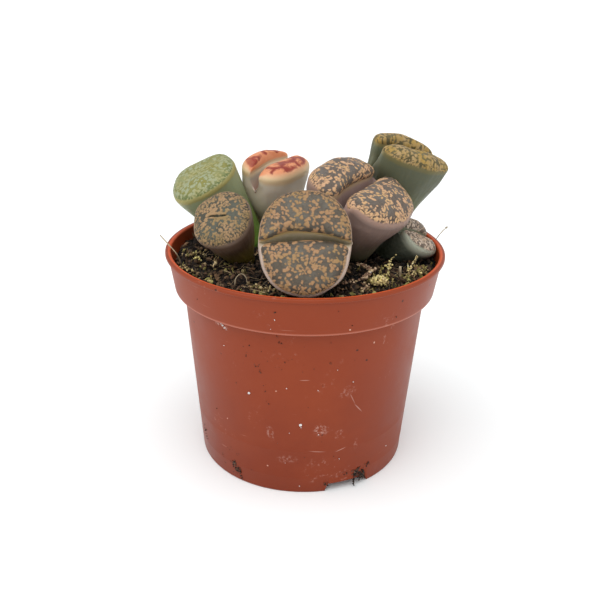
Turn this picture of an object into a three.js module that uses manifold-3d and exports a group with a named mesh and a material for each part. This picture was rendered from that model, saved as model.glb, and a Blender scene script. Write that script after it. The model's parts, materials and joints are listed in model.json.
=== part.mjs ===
// Potted lithops: seven stone plants rooted in dark crumbly peat, in a small round nursery pot of
// thin moulded plastic. Millimetres, +Z up, origin in the middle of the pot on the plane that its
// foot ring stands on. The near side of the pot, as the plants present themselves, is -Y.
import * as THREE from 'three';
import { mergeVertices } from 'three/addons/utils/BufferGeometryUtils.js';
import Module from 'manifold-3d';

// ---- Pot: driving dimensions ----
const POT_HEIGHT = 43.8;
const LIP_RADIUS = 27.5;
const LIP_INNER_RADIUS = 26.4;
const LIP_HEIGHT = 0.8;
const BAND_TOP_RADIUS = 26.95;
const BAND_BOTTOM_RADIUS = 25.85;
const BAND_BOTTOM = 36.2;
const WALL_TOP_RADIUS = 24.15;
const BASE_RADIUS = 21.3;
const WALL = 0.65;
const FOOT_RING_WIDTH = 1.2;
const FLOOR_UNDERSIDE = 2.2;
const FLOOR_THICKNESS = 0.7;
const POT_SEGMENTS = 64;
const CENTRE_HOLE_RADIUS = 3.0;
const SIDE_HOLE_RADIUS = 2.4;
const SIDE_HOLE_CIRCLE = 12.5;
const SIDE_HOLE_COUNT = 5;
const NOTCH_AZIMUTHS = [-64.4, 115.6];
const NOTCH_WIDTH = 9.5;
const NOTCH_TOP_WIDTH = 8.1;
const NOTCH_HEIGHT = 1.8;

// ---- Soil: driving dimensions ----
const SOIL_LEVEL = 41.0;
const SOIL_CLEARANCE = 0.3;
const SOIL_RINGS = 14;
const SOIL_SEGMENTS = 72;
const CRUMB_COUNT = 240;
const CRUMB_HEIGHT = 1.0;
const STRAW_SIDES = 6;

// ---- Heads: dimensions they share ----
const SOCKET_CLEARANCE = 0.35;
const ROOT_DEPTH = 7;
const NECK_HEIGHT = 40.5;
const NECK_FLATTENING = 0.9;
const HALF_ROUND = 15;
const SEAM_STEPS = 8;
const SIDE_ROWS = 6;
const LOBE_ROWS = 4;
const CAP_ROWS = 4;
const FISSURE_SQUARENESS = 3;

// Each head is one plant body of two leaves grown together. `top` is the middle of its upper
// face, which leans towards `azimuth` by `tilt`; `fissure` is the azimuth of the split between
// the leaves. `half` is the half length along the fissure, `far` and `near` the half widths to
// either side of it, and `bulge` how full the body is below its top. `cleft` is how deep the
// leaves stand apart in the middle, and `ends` how deep at either end of the fissure. `gap` is how
// far each leaf stands back from its line, and `taper` how much of that is gone at the ends.
// A head with a slit in place of a cleft is still closed but for that short crack.
const HEADS = [
  {
    name: 'lithops_front', colour: 0x8f7a62, top: [0, -19.3, 51.1], azimuth: -92, tilt: 60,
    fissure: 1, half: 8.2, far: 9.1, near: 9.5, neck: [0.5, -4], neckRadius: 3.2, straight: 7,
    cleft: 2.7, ends: 0.5, gap: [1.7, 0.12], taper: 1, arch: 0.35, corner: [0.5, 1.7],
    bulge: 0.35, pillow: 1.9, flatness: 2.3, square: 2.2, lobeTilt: [3, 3],
    lobeScale: [1, 0.95],
  },
  {
    name: 'lithops_right_front', colour: 0x8a7463, top: [10.6, -2, 55.1], azimuth: -36, tilt: 24,
    fissure: 60, half: 9.6, far: 9.7, near: 10.2, neck: [10, 4.6], neckRadius: 3.2, straight: 8,
    cleft: 3.6, ends: 1.5, gap: [2.3, 0.15], taper: 0.8, arch: 0.1, corner: [4.4, 2.6],
    bulge: 0.45, pillow: 3, flatness: 2.2, square: 2.2, lobeTilt: [8, 10], lobeScale: [0.98, 1],
  },
  {
    name: 'lithops_orange', colour: 0xb9714c, top: [-6.7, 13.3, 55.8], azimuth: -69, tilt: 10,
    fissure: 57, half: 6.9, far: 5.9, near: 6.2, neck: [-3.9, 18.2], neckRadius: 3, straight: 8,
    cleft: 3.8, ends: 2.6, gap: [2.3, 0.12], taper: 0.75, arch: 0.3, corner: [1.2, 1.6],
    bulge: 0.75, pillow: 2.4, flatness: 2.2, square: 2.3, lobeTilt: [3, 3], lobeScale: [1, 1.07],
  },
  {
    name: 'lithops_right_back', colour: 0x8d8350, top: [20.9, 13.1, 59.2], azimuth: -15, tilt: 21,
    fissure: 18, half: 8, far: 6.8, near: 6.8, neck: [16.3, 13.2], neckRadius: 2.6, straight: 9,
    cleft: 7, ends: 6, gap: [2.2, 1.2], taper: 0.6, arch: 0.3, corner: [2, 2.8],
    bulge: 0.62, pillow: 2.3, flatness: 2.3, square: 2.1, lobeTilt: [2, 6], lobeScale: [0.9, 1],
  },
  {
    name: 'lithops_right_small', colour: 0x8d8378, top: [21.75, 1, 45.9], azimuth: -23, tilt: 42,
    fissure: 19, half: 4.8, far: 3.7, near: 5.1, neck: [16.3, 5.2], neckRadius: 2.6, straight: 4,
    cleft: 2, ends: 0.8, gap: [0.7, 0.15], taper: 0.75, arch: 0.2, corner: [1.3, 1.3],
    bulge: 0.35, pillow: 1.6, flatness: 2.3, square: 2.2, lobeTilt: [2, 2],
    lobeScale: [0.87, 1],
  },
  {
    name: 'lithops_green', colour: 0x9aa57d, top: [-20.7, 8.2, 54.5], azimuth: -147, tilt: 31,
    fissure: 20, half: 7.05, far: 7.2, near: 7, neck: [-10.4, 7.3], neckRadius: 2.9, straight: 8,
    bulge: 0.45, pillow: 2.1, flatness: 2.5, square: 2.2, slit: null,
  },
  {
    name: 'lithops_left_small', colour: 0x83735a, top: [-15.6, -7, 50.6], azimuth: -114, tilt: 43,
    fissure: 0, half: 5.75, far: 6.2, near: 5.7, neck: [-12.3, -0.8], neckRadius: 2.4,
    straight: 4, bulge: 0.7, pillow: 2, flatness: 2.4, square: 2.2,
    slit: { along: -0.25, across: 0.1, turn: 2, length: 3.3, width: 0.4, depth: 0.6 },
  },
];

const wasm = await Module();
wasm.setup();

// ---- Solids to and from geometry ----

function solidFrom(geometry) {
  geometry.deleteAttribute('normal');
  geometry.deleteAttribute('uv');
  const joined = mergeVertices(geometry, 1e-4);
  return new wasm.Manifold(new wasm.Mesh({
    numProp: 3,
    vertProperties: new Float32Array(joined.attributes.position.array),
    triVerts: new Uint32Array(joined.index.array),
  }));
}

function meshFrom(solid, name, colour, roughness) {
  const raw = solid.getMesh();
  const geometry = new THREE.BufferGeometry();
  geometry.setAttribute('position', new THREE.BufferAttribute(raw.vertProperties, 3));
  geometry.setIndex(new THREE.BufferAttribute(raw.triVerts, 1));
  geometry.computeVertexNormals();
  const material = new THREE.MeshStandardMaterial({ color: colour, roughness, metalness: 0 });
  const mesh = new THREE.Mesh(geometry, material);
  mesh.name = name;
  return mesh;
}

// A closed skin collected point by point and ring by ring.
class Skin {
  constructor() {
    this.points = [];
    this.faces = [];
  }

  add(point) {
    this.points.push(point.x, point.y, point.z);
    return this.points.length / 3 - 1;
  }

  ring(points) {
    return points.map((point) => this.add(point));
  }

  // Joins two closed rings of equally many points.
  band(lower, upper) {
    lower.forEach((a, i) => {
      const j = (i + 1) % lower.length;
      this.faces.push(a, lower[j], upper[j], a, upper[j], upper[i]);
    });
  }

  // Closes a ring with a fan; `outward` is true where the ring runs with the fan's normal.
  fan(ring, tip, outward) {
    ring.forEach((a, i) => {
      const b = ring[(i + 1) % ring.length];
      this.faces.push(...(outward ? [a, b, tip] : [b, a, tip]));
    });
  }

  solid() {
    const geometry = new THREE.BufferGeometry();
    geometry.setAttribute('position', new THREE.Float32BufferAttribute(this.points, 3));
    geometry.setIndex(this.faces);
    return solidFrom(geometry);
  }
}

function seededRandom(seed) {
  let state = seed;
  return () => {
    state = (state * 1664525 + 1013904223) % 4294967296;
    return state / 4294967296;
  };
}

const radians = THREE.MathUtils.degToRad;

function polar(radius, azimuth, z) {
  return new THREE.Vector3(radius * Math.cos(azimuth), radius * Math.sin(azimuth), z);
}

// ---- Pot ----

const wallRadius = (z) => BASE_RADIUS + ((WALL_TOP_RADIUS - BASE_RADIUS) * z) / BAND_BOTTOM;
const shoulder = BAND_BOTTOM + WALL;
const floorTop = FLOOR_UNDERSIDE + FLOOR_THICKNESS;
const bandInnerTop = LIP_INNER_RADIUS - 0.1;
const bandInnerBottom = BAND_BOTTOM_RADIUS - WALL;
const bandInner = (z) => {
  const rise = (z - shoulder) / (POT_HEIGHT - LIP_HEIGHT - shoulder);
  return bandInnerBottom + (bandInnerTop - bandInnerBottom) * rise;
};

// Half section of the pot: up the outside, over the lip, down the inside, across the floor and
// back under it. It stops at the drain hole in the middle of the floor.
function potSection() {
  const lip = POT_HEIGHT - LIP_HEIGHT;
  return [
    [CENTRE_HOLE_RADIUS, FLOOR_UNDERSIDE],
    [BASE_RADIUS - FOOT_RING_WIDTH, FLOOR_UNDERSIDE],
    [BASE_RADIUS - FOOT_RING_WIDTH, 0],
    [BASE_RADIUS - 0.25, 0],
    [wallRadius(0.3), 0.3],
    [wallRadius(BAND_BOTTOM / 2), BAND_BOTTOM / 2],
    [WALL_TOP_RADIUS, BAND_BOTTOM],
    [BAND_BOTTOM_RADIUS - 0.2, BAND_BOTTOM],
    [BAND_BOTTOM_RADIUS, BAND_BOTTOM + 0.2],
    [BAND_TOP_RADIUS, lip],
    [LIP_RADIUS - 0.15, lip + 0.05],
    [LIP_RADIUS, lip + 0.25],
    [LIP_RADIUS, POT_HEIGHT - 0.3],
    [LIP_RADIUS - 0.3, POT_HEIGHT],
    [LIP_INNER_RADIUS + 0.25, POT_HEIGHT],
    [LIP_INNER_RADIUS, POT_HEIGHT - 0.25],
    [bandInnerTop, lip],
    [bandInnerBottom, shoulder],
    [wallRadius(shoulder) - WALL - 0.1, shoulder],
    [wallRadius(BAND_BOTTOM) - WALL - 0.15, shoulder - 0.3],
    [wallRadius(floorTop) - WALL, floorTop],
    [CENTRE_HOLE_RADIUS, floorTop],
    [CENTRE_HOLE_RADIUS, FLOOR_UNDERSIDE],
  ].map(([r, z]) => new THREE.Vector2(r, z));
}

function buildPot() {
  const shell = new THREE.LatheGeometry(potSection(), POT_SEGMENTS);
  shell.rotateX(Math.PI / 2);
  let pot = solidFrom(shell);
  for (let i = 0; i < SIDE_HOLE_COUNT; i += 1) {
    const hole = new THREE.CylinderGeometry(SIDE_HOLE_RADIUS, SIDE_HOLE_RADIUS, 4, 16);
    hole.rotateX(Math.PI / 2);
    const centre = polar(SIDE_HOLE_CIRCLE, (i * 2 * Math.PI) / SIDE_HOLE_COUNT, FLOOR_UNDERSIDE);
    hole.translate(centre.x, centre.y, centre.z);
    pot = pot.subtract(solidFrom(hole));
  }
  // The notches that let water out under the foot ring are a little narrower at the top.
  const outline = new THREE.Shape();
  outline.moveTo(-NOTCH_WIDTH / 2, -1);
  outline.lineTo(NOTCH_WIDTH / 2, -1);
  outline.lineTo(NOTCH_WIDTH / 2, 0);
  outline.lineTo(NOTCH_TOP_WIDTH / 2, NOTCH_HEIGHT);
  outline.lineTo(-NOTCH_TOP_WIDTH / 2, NOTCH_HEIGHT);
  outline.lineTo(-NOTCH_WIDTH / 2, 0);
  outline.closePath();
  NOTCH_AZIMUTHS.forEach((azimuth) => {
    const notch = new THREE.ExtrudeGeometry(outline, { depth: 6, bevelEnabled: false });
    notch.rotateX(Math.PI / 2);
    notch.translate(0, 3 - BASE_RADIUS + 2, 0);
    notch.rotateZ(radians(azimuth + 90));
    pot = pot.subtract(solidFrom(notch));
  });
  return pot;
}

// ---- Heads ----

function power(value, exponent) {
  return Math.sign(value) * Math.abs(value) ** exponent;
}

function ease(value) {
  const x = THREE.MathUtils.clamp(value, 0, 1);
  return x * x * (3 - 2 * x);
}

// The stem line of a head: up from the neck, then straight into the face along its normal.
function stemOf(head, grow) {
  const a = radians(head.azimuth);
  const t = radians(head.tilt);
  const up = new THREE.Vector3(
    Math.sin(t) * Math.cos(a),
    Math.sin(t) * Math.sin(a),
    Math.cos(t),
  );
  const along = polar(1, radians(head.fissure), 0);
  along.addScaledVector(up, -along.dot(up)).normalize();
  const end = new THREE.Vector3(...head.top).addScaledVector(up, grow);
  const start = new THREE.Vector3(head.neck[0], head.neck[1], NECK_HEIGHT);
  const middle = new THREE.Vector3(...head.top).addScaledVector(up, -head.straight);
  const line = new THREE.QuadraticBezierCurve3(start, middle, end);
  const place = (s, x, y, z) => {
    const tangent = line.getTangent(s);
    const f = along.clone().addScaledVector(tangent, -along.dot(tangent)).normalize();
    const q = new THREE.Vector3().crossVectors(tangent, f);
    const point = line.getPoint(s);
    point.addScaledVector(f, x);
    point.addScaledVector(q, y);
    point.addScaledVector(tangent, z);
    return point;
  };
  return { start, end, place, length: end.distanceTo(start) };
}

// Half length and half widths of the body at fraction s of the stem line.
function girth(head, grow, s) {
  const swell = s * (1 + head.bulge * (1 - s));
  const blend = (from, to) => from + grow + (to - from) * swell;
  const thin = head.neckRadius * NECK_FLATTENING;
  return {
    x: blend(head.neckRadius, head.half),
    far: blend(thin, head.far),
    near: blend(thin, head.near),
  };
}

function fullSection(head, grow, s) {
  const size = girth(head, grow, s);
  const section = [];
  for (let i = 0; i < 2 * HALF_ROUND; i += 1) {
    const angle = (i * Math.PI) / HALF_ROUND;
    const width = i <= HALF_ROUND ? size.far : size.near;
    section.push([
      power(Math.cos(angle), 2 / head.square) * size.x,
      power(Math.sin(angle), 2 / head.square) * width,
    ]);
  }
  return section;
}

// Outline of one leaf above the bottom of the cleft: the round outer side, then back along the
// fissure. `w` runs from 0 at the bottom of the cleft to 1 at the rim; `side` is +1 or -1.
function leafSection(head, grow, s, w, side) {
  const size = girth(head, grow, s);
  const scale = head.lobeScale[side > 0 ? 0 : 1];
  const halfLength = size.x * (1 - 0.02 * w) * (1 + (scale - 1) * w);
  const width = side > 0 ? size.far : size.near;
  const leaf = side > 0 ? 0 : 1;
  const round = head.corner[leaf] * ease(1.4 * w);
  const gap = Math.max(head.gap[leaf] - grow, 0.1) * w ** 0.8;
  const arch = head.arch * w;
  const inner = (x) => {
    const r = Math.min(Math.abs(x) / halfLength, 1);
    return side * gap * (1 - head.taper * r * r) + arch * (1 - r * r);
  };
  const shoulderLine = round + side * inner(halfLength);
  const section = [];
  for (let i = 0; i <= HALF_ROUND; i += 1) {
    const angle = (i * Math.PI) / HALF_ROUND;
    const across = Math.abs(power(Math.sin(angle), 2 / head.square));
    section.push([
      side * power(Math.cos(angle), 2 / head.square) * halfLength,
      side * (shoulderLine + (width - shoulderLine) * across),
    ]);
  }
  for (let i = 1; i < SEAM_STEPS; i += 1) {
    const angle = (i * Math.PI) / SEAM_STEPS;
    const x = -side * power(Math.cos(angle), 2 / FISSURE_SQUARENESS) * halfLength;
    const reach = Math.sin(angle) ** (2 / FISSURE_SQUARENESS);
    const y = side * shoulderLine + (inner(x) - side * shoulderLine) * reach;
    section.push([x, y]);
  }
  return { section, middle: (0.95 * side * (shoulderLine + width)) / 2 };
}

// Height and shrink of the domed top at each step from the rim to the crown.
function pillowSteps(head) {
  const steps = [];
  for (let i = 1; i <= CAP_ROWS; i += 1) {
    const angle = (i / (CAP_ROWS + 1)) * (Math.PI / 2);
    steps.push({
      shrink: Math.cos(angle) ** (2 / head.flatness),
      rise: head.pillow * Math.sin(angle) ** (2 / head.flatness),
    });
  }
  return steps;
}

function buildHead(head, grow) {
  const stem = stemOf(head, grow);
  const skin = new Skin();
  const tip = stem.start.clone();
  tip.z -= ROOT_DEPTH + grow;
  const rows = [];
  // The root below the neck tapers down to its tip.
  [0.35, 0.75].forEach((k) => {
    const centre = tip.clone().lerp(stem.start, k);
    const lift = centre.sub(stem.start);
    const scale = 0.25 + 0.75 * k;
    rows.push(skin.ring(fullSection(head, grow, 0).map(([x, y]) => (
      stem.place(0, x * scale, y * scale, 0).add(lift)
    ))));
  });
  const closed = head.cleft === undefined;
  const fork = closed ? 1 : 1 - head.ends / stem.length;
  for (let i = 0; i <= SIDE_ROWS; i += 1) {
    const s = (fork * i) / SIDE_ROWS;
    rows.push(skin.ring(fullSection(head, grow, s).map(([x, y]) => stem.place(s, x, y, 0))));
  }
  skin.fan(rows[0], skin.add(tip), false);
  rows.slice(1).forEach((row, i) => skin.band(rows[i], row));
  const last = rows[rows.length - 1];
  const rim = (row, shape) => {
    const next = skin.ring(shape);
    skin.band(row, next);
    return next;
  };

  if (closed) {
    let row = last;
    pillowSteps(head).forEach(({ shrink, rise }) => {
      row = rim(row, fullSection(head, grow, 1).map(([x, y]) => (
        stem.place(1, x * shrink, y * shrink, rise)
      )));
    });
    skin.fan(row, skin.add(stem.place(1, 0, 0, head.pillow)), true);
    return skin.solid();
  }

  // Above the fork the skin goes on round each leaf and down both walls of the cleft.
  // The bottom of the cleft dips from both ends to the middle.
  const seam = [];
  const dip = [];
  for (let i = 1; i < SEAM_STEPS; i += 1) {
    const x = -power(Math.cos((i * Math.PI) / SEAM_STEPS), 2 / FISSURE_SQUARENESS);
    const depth = head.ends + (head.cleft - head.ends) * (1 - x * x) ** 0.6;
    dip.push(1 - depth / stem.length);
    seam.push(skin.add(stem.place(dip[i - 1], x * girth(head, grow, fork).x, 0, 0)));
  }
  [1, -1].forEach((side) => {
    let row = side > 0
      ? [...last.slice(0, HALF_ROUND + 1), ...seam]
      : [...last.slice(HALF_ROUND), last[0], ...seam.slice().reverse()];
    const slope = Math.tan(radians(head.lobeTilt[side > 0 ? 0 : 1]));
    const bottom = side > 0 ? dip : dip.slice().reverse();
    const from = [...new Array(HALF_ROUND + 1).fill(fork), ...bottom];
    for (let i = 1; i <= LOBE_ROWS; i += 1) {
      const w = i / LOBE_ROWS;
      const s = fork + (1 - fork) * w;
      const { section, middle } = leafSection(head, grow, s, w, side);
      row = rim(row, section.map(([x, y], k) => (
        stem.place(from[k] + (1 - from[k]) * w, x, y, -side * (y - middle) * slope * ease(w))
      )));
    }
    const { section, middle } = leafSection(head, grow, 1, 1, side);
    pillowSteps(head).forEach(({ shrink, rise }) => {
      row = rim(row, section.map(([x, y]) => {
        const across = (y - middle) * shrink;
        return stem.place(1, x * shrink, middle + across, rise - side * across * slope);
      }));
    });
    skin.fan(row, skin.add(stem.place(1, 0, middle, head.pillow)), true);
  });
  return skin.solid();
}

// A short lens-shaped crack cut into the top of a head that is still closed.
function slitCutter(head) {
  const { along, across, turn, length, width, depth } = head.slit;
  const stem = stemOf(head, 0);
  const skin = new Skin();
  const outline = (scale, z) => {
    const ring = [];
    for (let i = 0; i < 12; i += 1) {
      const angle = (i * Math.PI) / 6;
      const u = (length / 2) * Math.cos(angle) * (0.6 + 0.4 * scale);
      const v = (width / 2) * Math.sin(angle) * scale;
      const t = radians(turn);
      const x = along + u * Math.cos(t) - v * Math.sin(t);
      const y = across + u * Math.sin(t) + v * Math.cos(t);
      ring.push(stem.place(1, x, y, z));
    }
    return ring;
  };
  const bottom = skin.ring(outline(0.3, head.pillow - depth));
  const top = skin.ring(outline(1.6, head.pillow + 1));
  skin.fan(bottom, skin.add(stem.place(1, along, across, head.pillow - depth)), false);
  skin.band(bottom, top);
  skin.fan(top, skin.add(stem.place(1, along, across, head.pillow + 1)), true);
  return skin.solid();
}

// ---- Soil ----

// Crumbs of peat: low domes of mixed size, scattered evenly over the surface.
function scatterCrumbs() {
  const random = seededRandom(57);
  const crumbs = [];
  for (let i = 0; i < CRUMB_COUNT; i += 1) {
    const radius = 25.4 * Math.sqrt(random());
    const azimuth = random() * 2 * Math.PI;
    crumbs.push({
      centre: polar(radius, azimuth, 0),
      size: 0.9 + 1.3 * random() ** 2,
      height: CRUMB_HEIGHT * (0.35 + 0.65 * random()),
    });
  }
  return crumbs;
}

const crumbs = scatterCrumbs();

function soilHeight(x, y) {
  const swell = 0.35 * Math.sin(0.23 * x + 1.1) * Math.cos(0.19 * y - 0.6);
  let crumb = 0;
  crumbs.forEach(({ centre, size, height }) => {
    const d = Math.hypot(x - centre.x, y - centre.y) / size;
    if (d < 1) crumb = Math.max(crumb, height * (1 - d * d));
  });
  return SOIL_LEVEL + swell + crumb;
}

function tube(path, radii) {
  const skin = new Skin();
  const rows = radii.map((radius, k) => {
    const s = k / (radii.length - 1);
    const tangent = path.getTangent(s);
    const side = new THREE.Vector3(0, 1, 0).cross(tangent).normalize();
    const other = new THREE.Vector3().crossVectors(tangent, side);
    const ring = [];
    for (let i = 0; i < STRAW_SIDES; i += 1) {
      const angle = (i * 2 * Math.PI) / STRAW_SIDES;
      const point = path.getPoint(s);
      point.addScaledVector(side, radius * Math.cos(angle));
      point.addScaledVector(other, radius * Math.sin(angle));
      ring.push(point);
    }
    return skin.ring(ring);
  });
  skin.fan(rows[0], skin.add(path.getPoint(0)), false);
  rows.slice(1).forEach((row, i) => skin.band(rows[i], row));
  skin.fan(rows[rows.length - 1], skin.add(path.getPoint(1)), true);
  return skin.solid();
}

// A dry straw leans out of the soil over the left edge of the pot, clear of the lip, and a
// short stub stands near the right front. Both are rooted in the soil and one with it.
function buildStraws() {
  const leaning = new THREE.CatmullRomCurve3([
    new THREE.Vector3(-23.9, -4.3, 39.6),
    new THREE.Vector3(-24.4, -4.7, 42.0),
    new THREE.Vector3(-24.99, -5.19, 43.6),
    new THREE.Vector3(-26.51, -4.6, 45.15),
    new THREE.Vector3(-28.03, -4.0, 46.69),
  ]);
  const stub = new THREE.LineCurve3(
    new THREE.Vector3(17.9, -11.2, 39.8),
    new THREE.Vector3(17.7, -11.1, 43.9),
  );
  return tube(leaning, [0.4, 0.38, 0.36, 0.34, 0.32, 0.3, 0.3]).add(tube(stub, [0.4, 0.34]));
}

function buildSoil(sockets) {
  const skin = new Skin();
  const rowAt = (radius, z) => {
    const ring = [];
    for (let i = 0; i < SOIL_SEGMENTS; i += 1) {
      const azimuth = (i * 2 * Math.PI) / SOIL_SEGMENTS;
      const point = polar(radius, azimuth, z);
      if (z === null) point.z = soilHeight(point.x, point.y);
      ring.push(point);
    }
    return skin.ring(ring);
  };
  const ledge = shoulder + SOIL_CLEARANCE;
  const lowTop = BAND_BOTTOM - SOIL_CLEARANCE;
  const low = floorTop + SOIL_CLEARANCE;
  const edge = bandInner(SOIL_LEVEL) - SOIL_CLEARANCE;
  const rows = [
    rowAt(wallRadius(low) - WALL - SOIL_CLEARANCE - 0.1, low),
    rowAt(wallRadius(lowTop) - WALL - SOIL_CLEARANCE - 0.1, lowTop),
    rowAt(wallRadius(lowTop) - WALL - SOIL_CLEARANCE - 0.1, ledge),
    rowAt(bandInnerBottom - SOIL_CLEARANCE, ledge),
  ];
  for (let k = 0; k < SOIL_RINGS; k += 1) {
    rows.push(rowAt(edge * (1 - k / SOIL_RINGS) ** 0.9, null));
  }
  skin.fan(rows[0], skin.add(new THREE.Vector3(0, 0, low)), false);
  rows.slice(1).forEach((row, i) => skin.band(rows[i], row));
  skin.fan(rows[rows.length - 1], skin.add(new THREE.Vector3(0, 0, soilHeight(0, 0))), true);
  let soil = skin.solid().add(buildStraws());
  sockets.forEach((socket) => {
    soil = soil.subtract(socket);
  });
  return soil;
}

// ---- The whole thing ----

const group = new THREE.Group();
group.add(meshFrom(buildPot(), 'pot', 0x96482f, 0.42));
group.add(meshFrom(buildSoil(HEADS.map((head) => buildHead(head, SOCKET_CLEARANCE))),
  'soil', 0x2a211a, 0.95));
HEADS.forEach((head) => {
  let body = buildHead(head, 0);
  if (head.slit) body = body.subtract(slitCutter(head));
  group.add(meshFrom(body, head.name, head.colour, 0.6));
});

export default group;
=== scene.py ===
import json
import math

import bmesh
import bpy
import numpy as np
from mathutils import Matrix, Vector

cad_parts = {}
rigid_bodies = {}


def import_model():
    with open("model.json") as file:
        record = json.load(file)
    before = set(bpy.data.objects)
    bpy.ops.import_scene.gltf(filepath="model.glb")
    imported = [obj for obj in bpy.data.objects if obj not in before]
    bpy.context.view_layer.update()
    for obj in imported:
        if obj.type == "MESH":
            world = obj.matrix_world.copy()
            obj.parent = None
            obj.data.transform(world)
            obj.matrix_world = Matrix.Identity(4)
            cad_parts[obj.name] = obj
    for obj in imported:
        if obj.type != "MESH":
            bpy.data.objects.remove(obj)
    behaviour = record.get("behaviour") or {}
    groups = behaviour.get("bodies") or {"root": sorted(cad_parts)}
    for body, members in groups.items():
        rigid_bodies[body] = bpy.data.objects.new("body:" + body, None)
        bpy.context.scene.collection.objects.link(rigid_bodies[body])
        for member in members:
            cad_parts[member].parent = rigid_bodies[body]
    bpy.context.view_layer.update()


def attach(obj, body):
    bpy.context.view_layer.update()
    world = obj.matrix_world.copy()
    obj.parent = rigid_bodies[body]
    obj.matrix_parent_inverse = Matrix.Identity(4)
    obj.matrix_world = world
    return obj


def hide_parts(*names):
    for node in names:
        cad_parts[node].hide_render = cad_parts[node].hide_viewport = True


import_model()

# ---------------------------------------------------------------------------------------------
# Pot: a 5.5 cm nursery pot of thin brown polypropylene, moulded in one shot. A straight band
# with a rolled lip stands out over a tapered wall, and a low foot ring with two notches lets
# water out from under the floor, which has six drain holes. All sizes here are millimetres.
# ---------------------------------------------------------------------------------------------
MM = 0.001
POT_HEIGHT = 43.8
LIP_RADIUS = 27.5
LIP_INNER_RADIUS = 26.4
LIP_HEIGHT = 0.8
BAND_TOP_RADIUS = 26.95
BAND_BOTTOM_RADIUS = 25.85
BAND_BOTTOM = 36.2
WALL_TOP_RADIUS = 24.15
BASE_RADIUS = 21.3
WALL = 0.65
FOOT_RING_WIDTH = 1.2
FLOOR_UNDERSIDE = 2.2
FLOOR_THICKNESS = 0.7
CENTRE_HOLE_RADIUS = 3.0
DRAIN_HOLE_RADIUS = 2.4
DRAIN_RING_RADIUS = 12.5
DRAIN_RING_HOLES = 5
NOTCH_AZIMUTHS = [-64.4, 115.6]
NOTCH_WIDTH = 9.5
NOTCH_TOP_WIDTH = 8.1
NOTCH_HEIGHT = 1.8
NOTCH_DEPTH = 5
POT_SEGMENTS = 288
HOLE_SEGMENTS = 40
MOULD_LINES = [3.6, 9.9]
MOULD_LINE_HEIGHT = 0.018
MOULD_LINE_SECTION = [(-0.25, 0), (-0.08, 1), (0.08, 1), (0.25, 0)]  # up, share of the height


def wall_radius(z):
    return BASE_RADIUS + (WALL_TOP_RADIUS - BASE_RADIUS) * z / BAND_BOTTOM


def band_radius(z):
    rise = (z - BAND_BOTTOM) / (POT_HEIGHT - LIP_HEIGHT - BAND_BOTTOM)
    return BAND_BOTTOM_RADIUS + (BAND_TOP_RADIUS - BAND_BOTTOM_RADIUS) * rise


def fillet(corners, steps=5):
    """Rounds each (radius, height, fillet) corner of a closed section into an arc."""
    points = []
    for i, (r, z, size) in enumerate(corners):
        here = np.array([r, z])
        if size == 0:
            points.append(here)
            continue
        to_last = np.array(corners[i - 1][:2]) - here
        to_next = np.array(corners[(i + 1) % len(corners)][:2]) - here
        a = to_last / np.linalg.norm(to_last)
        b = to_next / np.linalg.norm(to_next)
        half = math.acos(np.clip(a @ b, -1, 1)) / 2
        centre = here + (a + b) / np.linalg.norm(a + b) * size / math.sin(half)
        start = here + a * size / math.tan(half) - centre
        end = here + b * size / math.tan(half) - centre
        for k in range(steps + 1):
            v = start + (end - start) * k / steps
            points.append(centre + v * size / np.linalg.norm(v))
    return np.array(points)


def mesh_of(name, points, faces, attributes=None, smooth=True):
    """A mesh object from points in millimetres, with a number for each point under each name."""
    mesh = bpy.data.meshes.new(name)
    mesh.from_pydata((np.asarray(points, float) * MM).tolist(), [], faces)
    mesh.polygons.foreach_set("use_smooth", [smooth] * len(mesh.polygons))
    for key, values in (attributes or {}).items():
        layer = mesh.attributes.new(key, "FLOAT", "POINT")
        layer.data.foreach_set("value", np.asarray(values, np.float32))
    mesh.update()
    piece = bpy.data.objects.new(name, mesh)
    bpy.context.scene.collection.objects.link(piece)
    return piece


def mould_wall():
    """The outside of the wall from the foot up, with the faint lines that the mould leaves."""
    rows = []
    for line in MOULD_LINES:
        for dz, out in MOULD_LINE_SECTION:
            rows.append((wall_radius(line + dz) + out * MOULD_LINE_HEIGHT, line + dz, 0))
    rows += [(wall_radius(z), z, 0) for z in np.arange(12.0, BAND_BOTTOM - 1, 1.6)]
    return rows


def pot_section():
    lip = POT_HEIGHT - LIP_HEIGHT
    shoulder = BAND_BOTTOM + WALL
    floor_top = FLOOR_UNDERSIDE + FLOOR_THICKNESS
    foot_inner = BASE_RADIUS - FOOT_RING_WIDTH
    band = [(band_radius(z), z, 0) for z in np.linspace(BAND_BOTTOM, lip, 5)[1:-1]]
    return fillet([
        (CENTRE_HOLE_RADIUS, FLOOR_UNDERSIDE, 0.12),
        (foot_inner, FLOOR_UNDERSIDE, 0.3),
        (foot_inner, 0, 0.15),
        (BASE_RADIUS, 0, 0.3),
        *mould_wall(),
        (WALL_TOP_RADIUS, BAND_BOTTOM, 0.25),
        (BAND_BOTTOM_RADIUS, BAND_BOTTOM, 0.3),
        *band,
        (BAND_TOP_RADIUS, lip, 0.2),
        (LIP_RADIUS, lip + 0.05, 0.22),
        (LIP_RADIUS, POT_HEIGHT, 0.38),
        (LIP_INNER_RADIUS, POT_HEIGHT, 0.38),
        (LIP_INNER_RADIUS - 0.1, lip, 0),
        (BAND_BOTTOM_RADIUS - WALL, shoulder, 0.3),
        (wall_radius(shoulder) - WALL - 0.1, shoulder, 0.2),
        (wall_radius(floor_top) - WALL, floor_top, 0.4),
        (CENTRE_HOLE_RADIUS, floor_top, 0.12),
    ])


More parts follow.
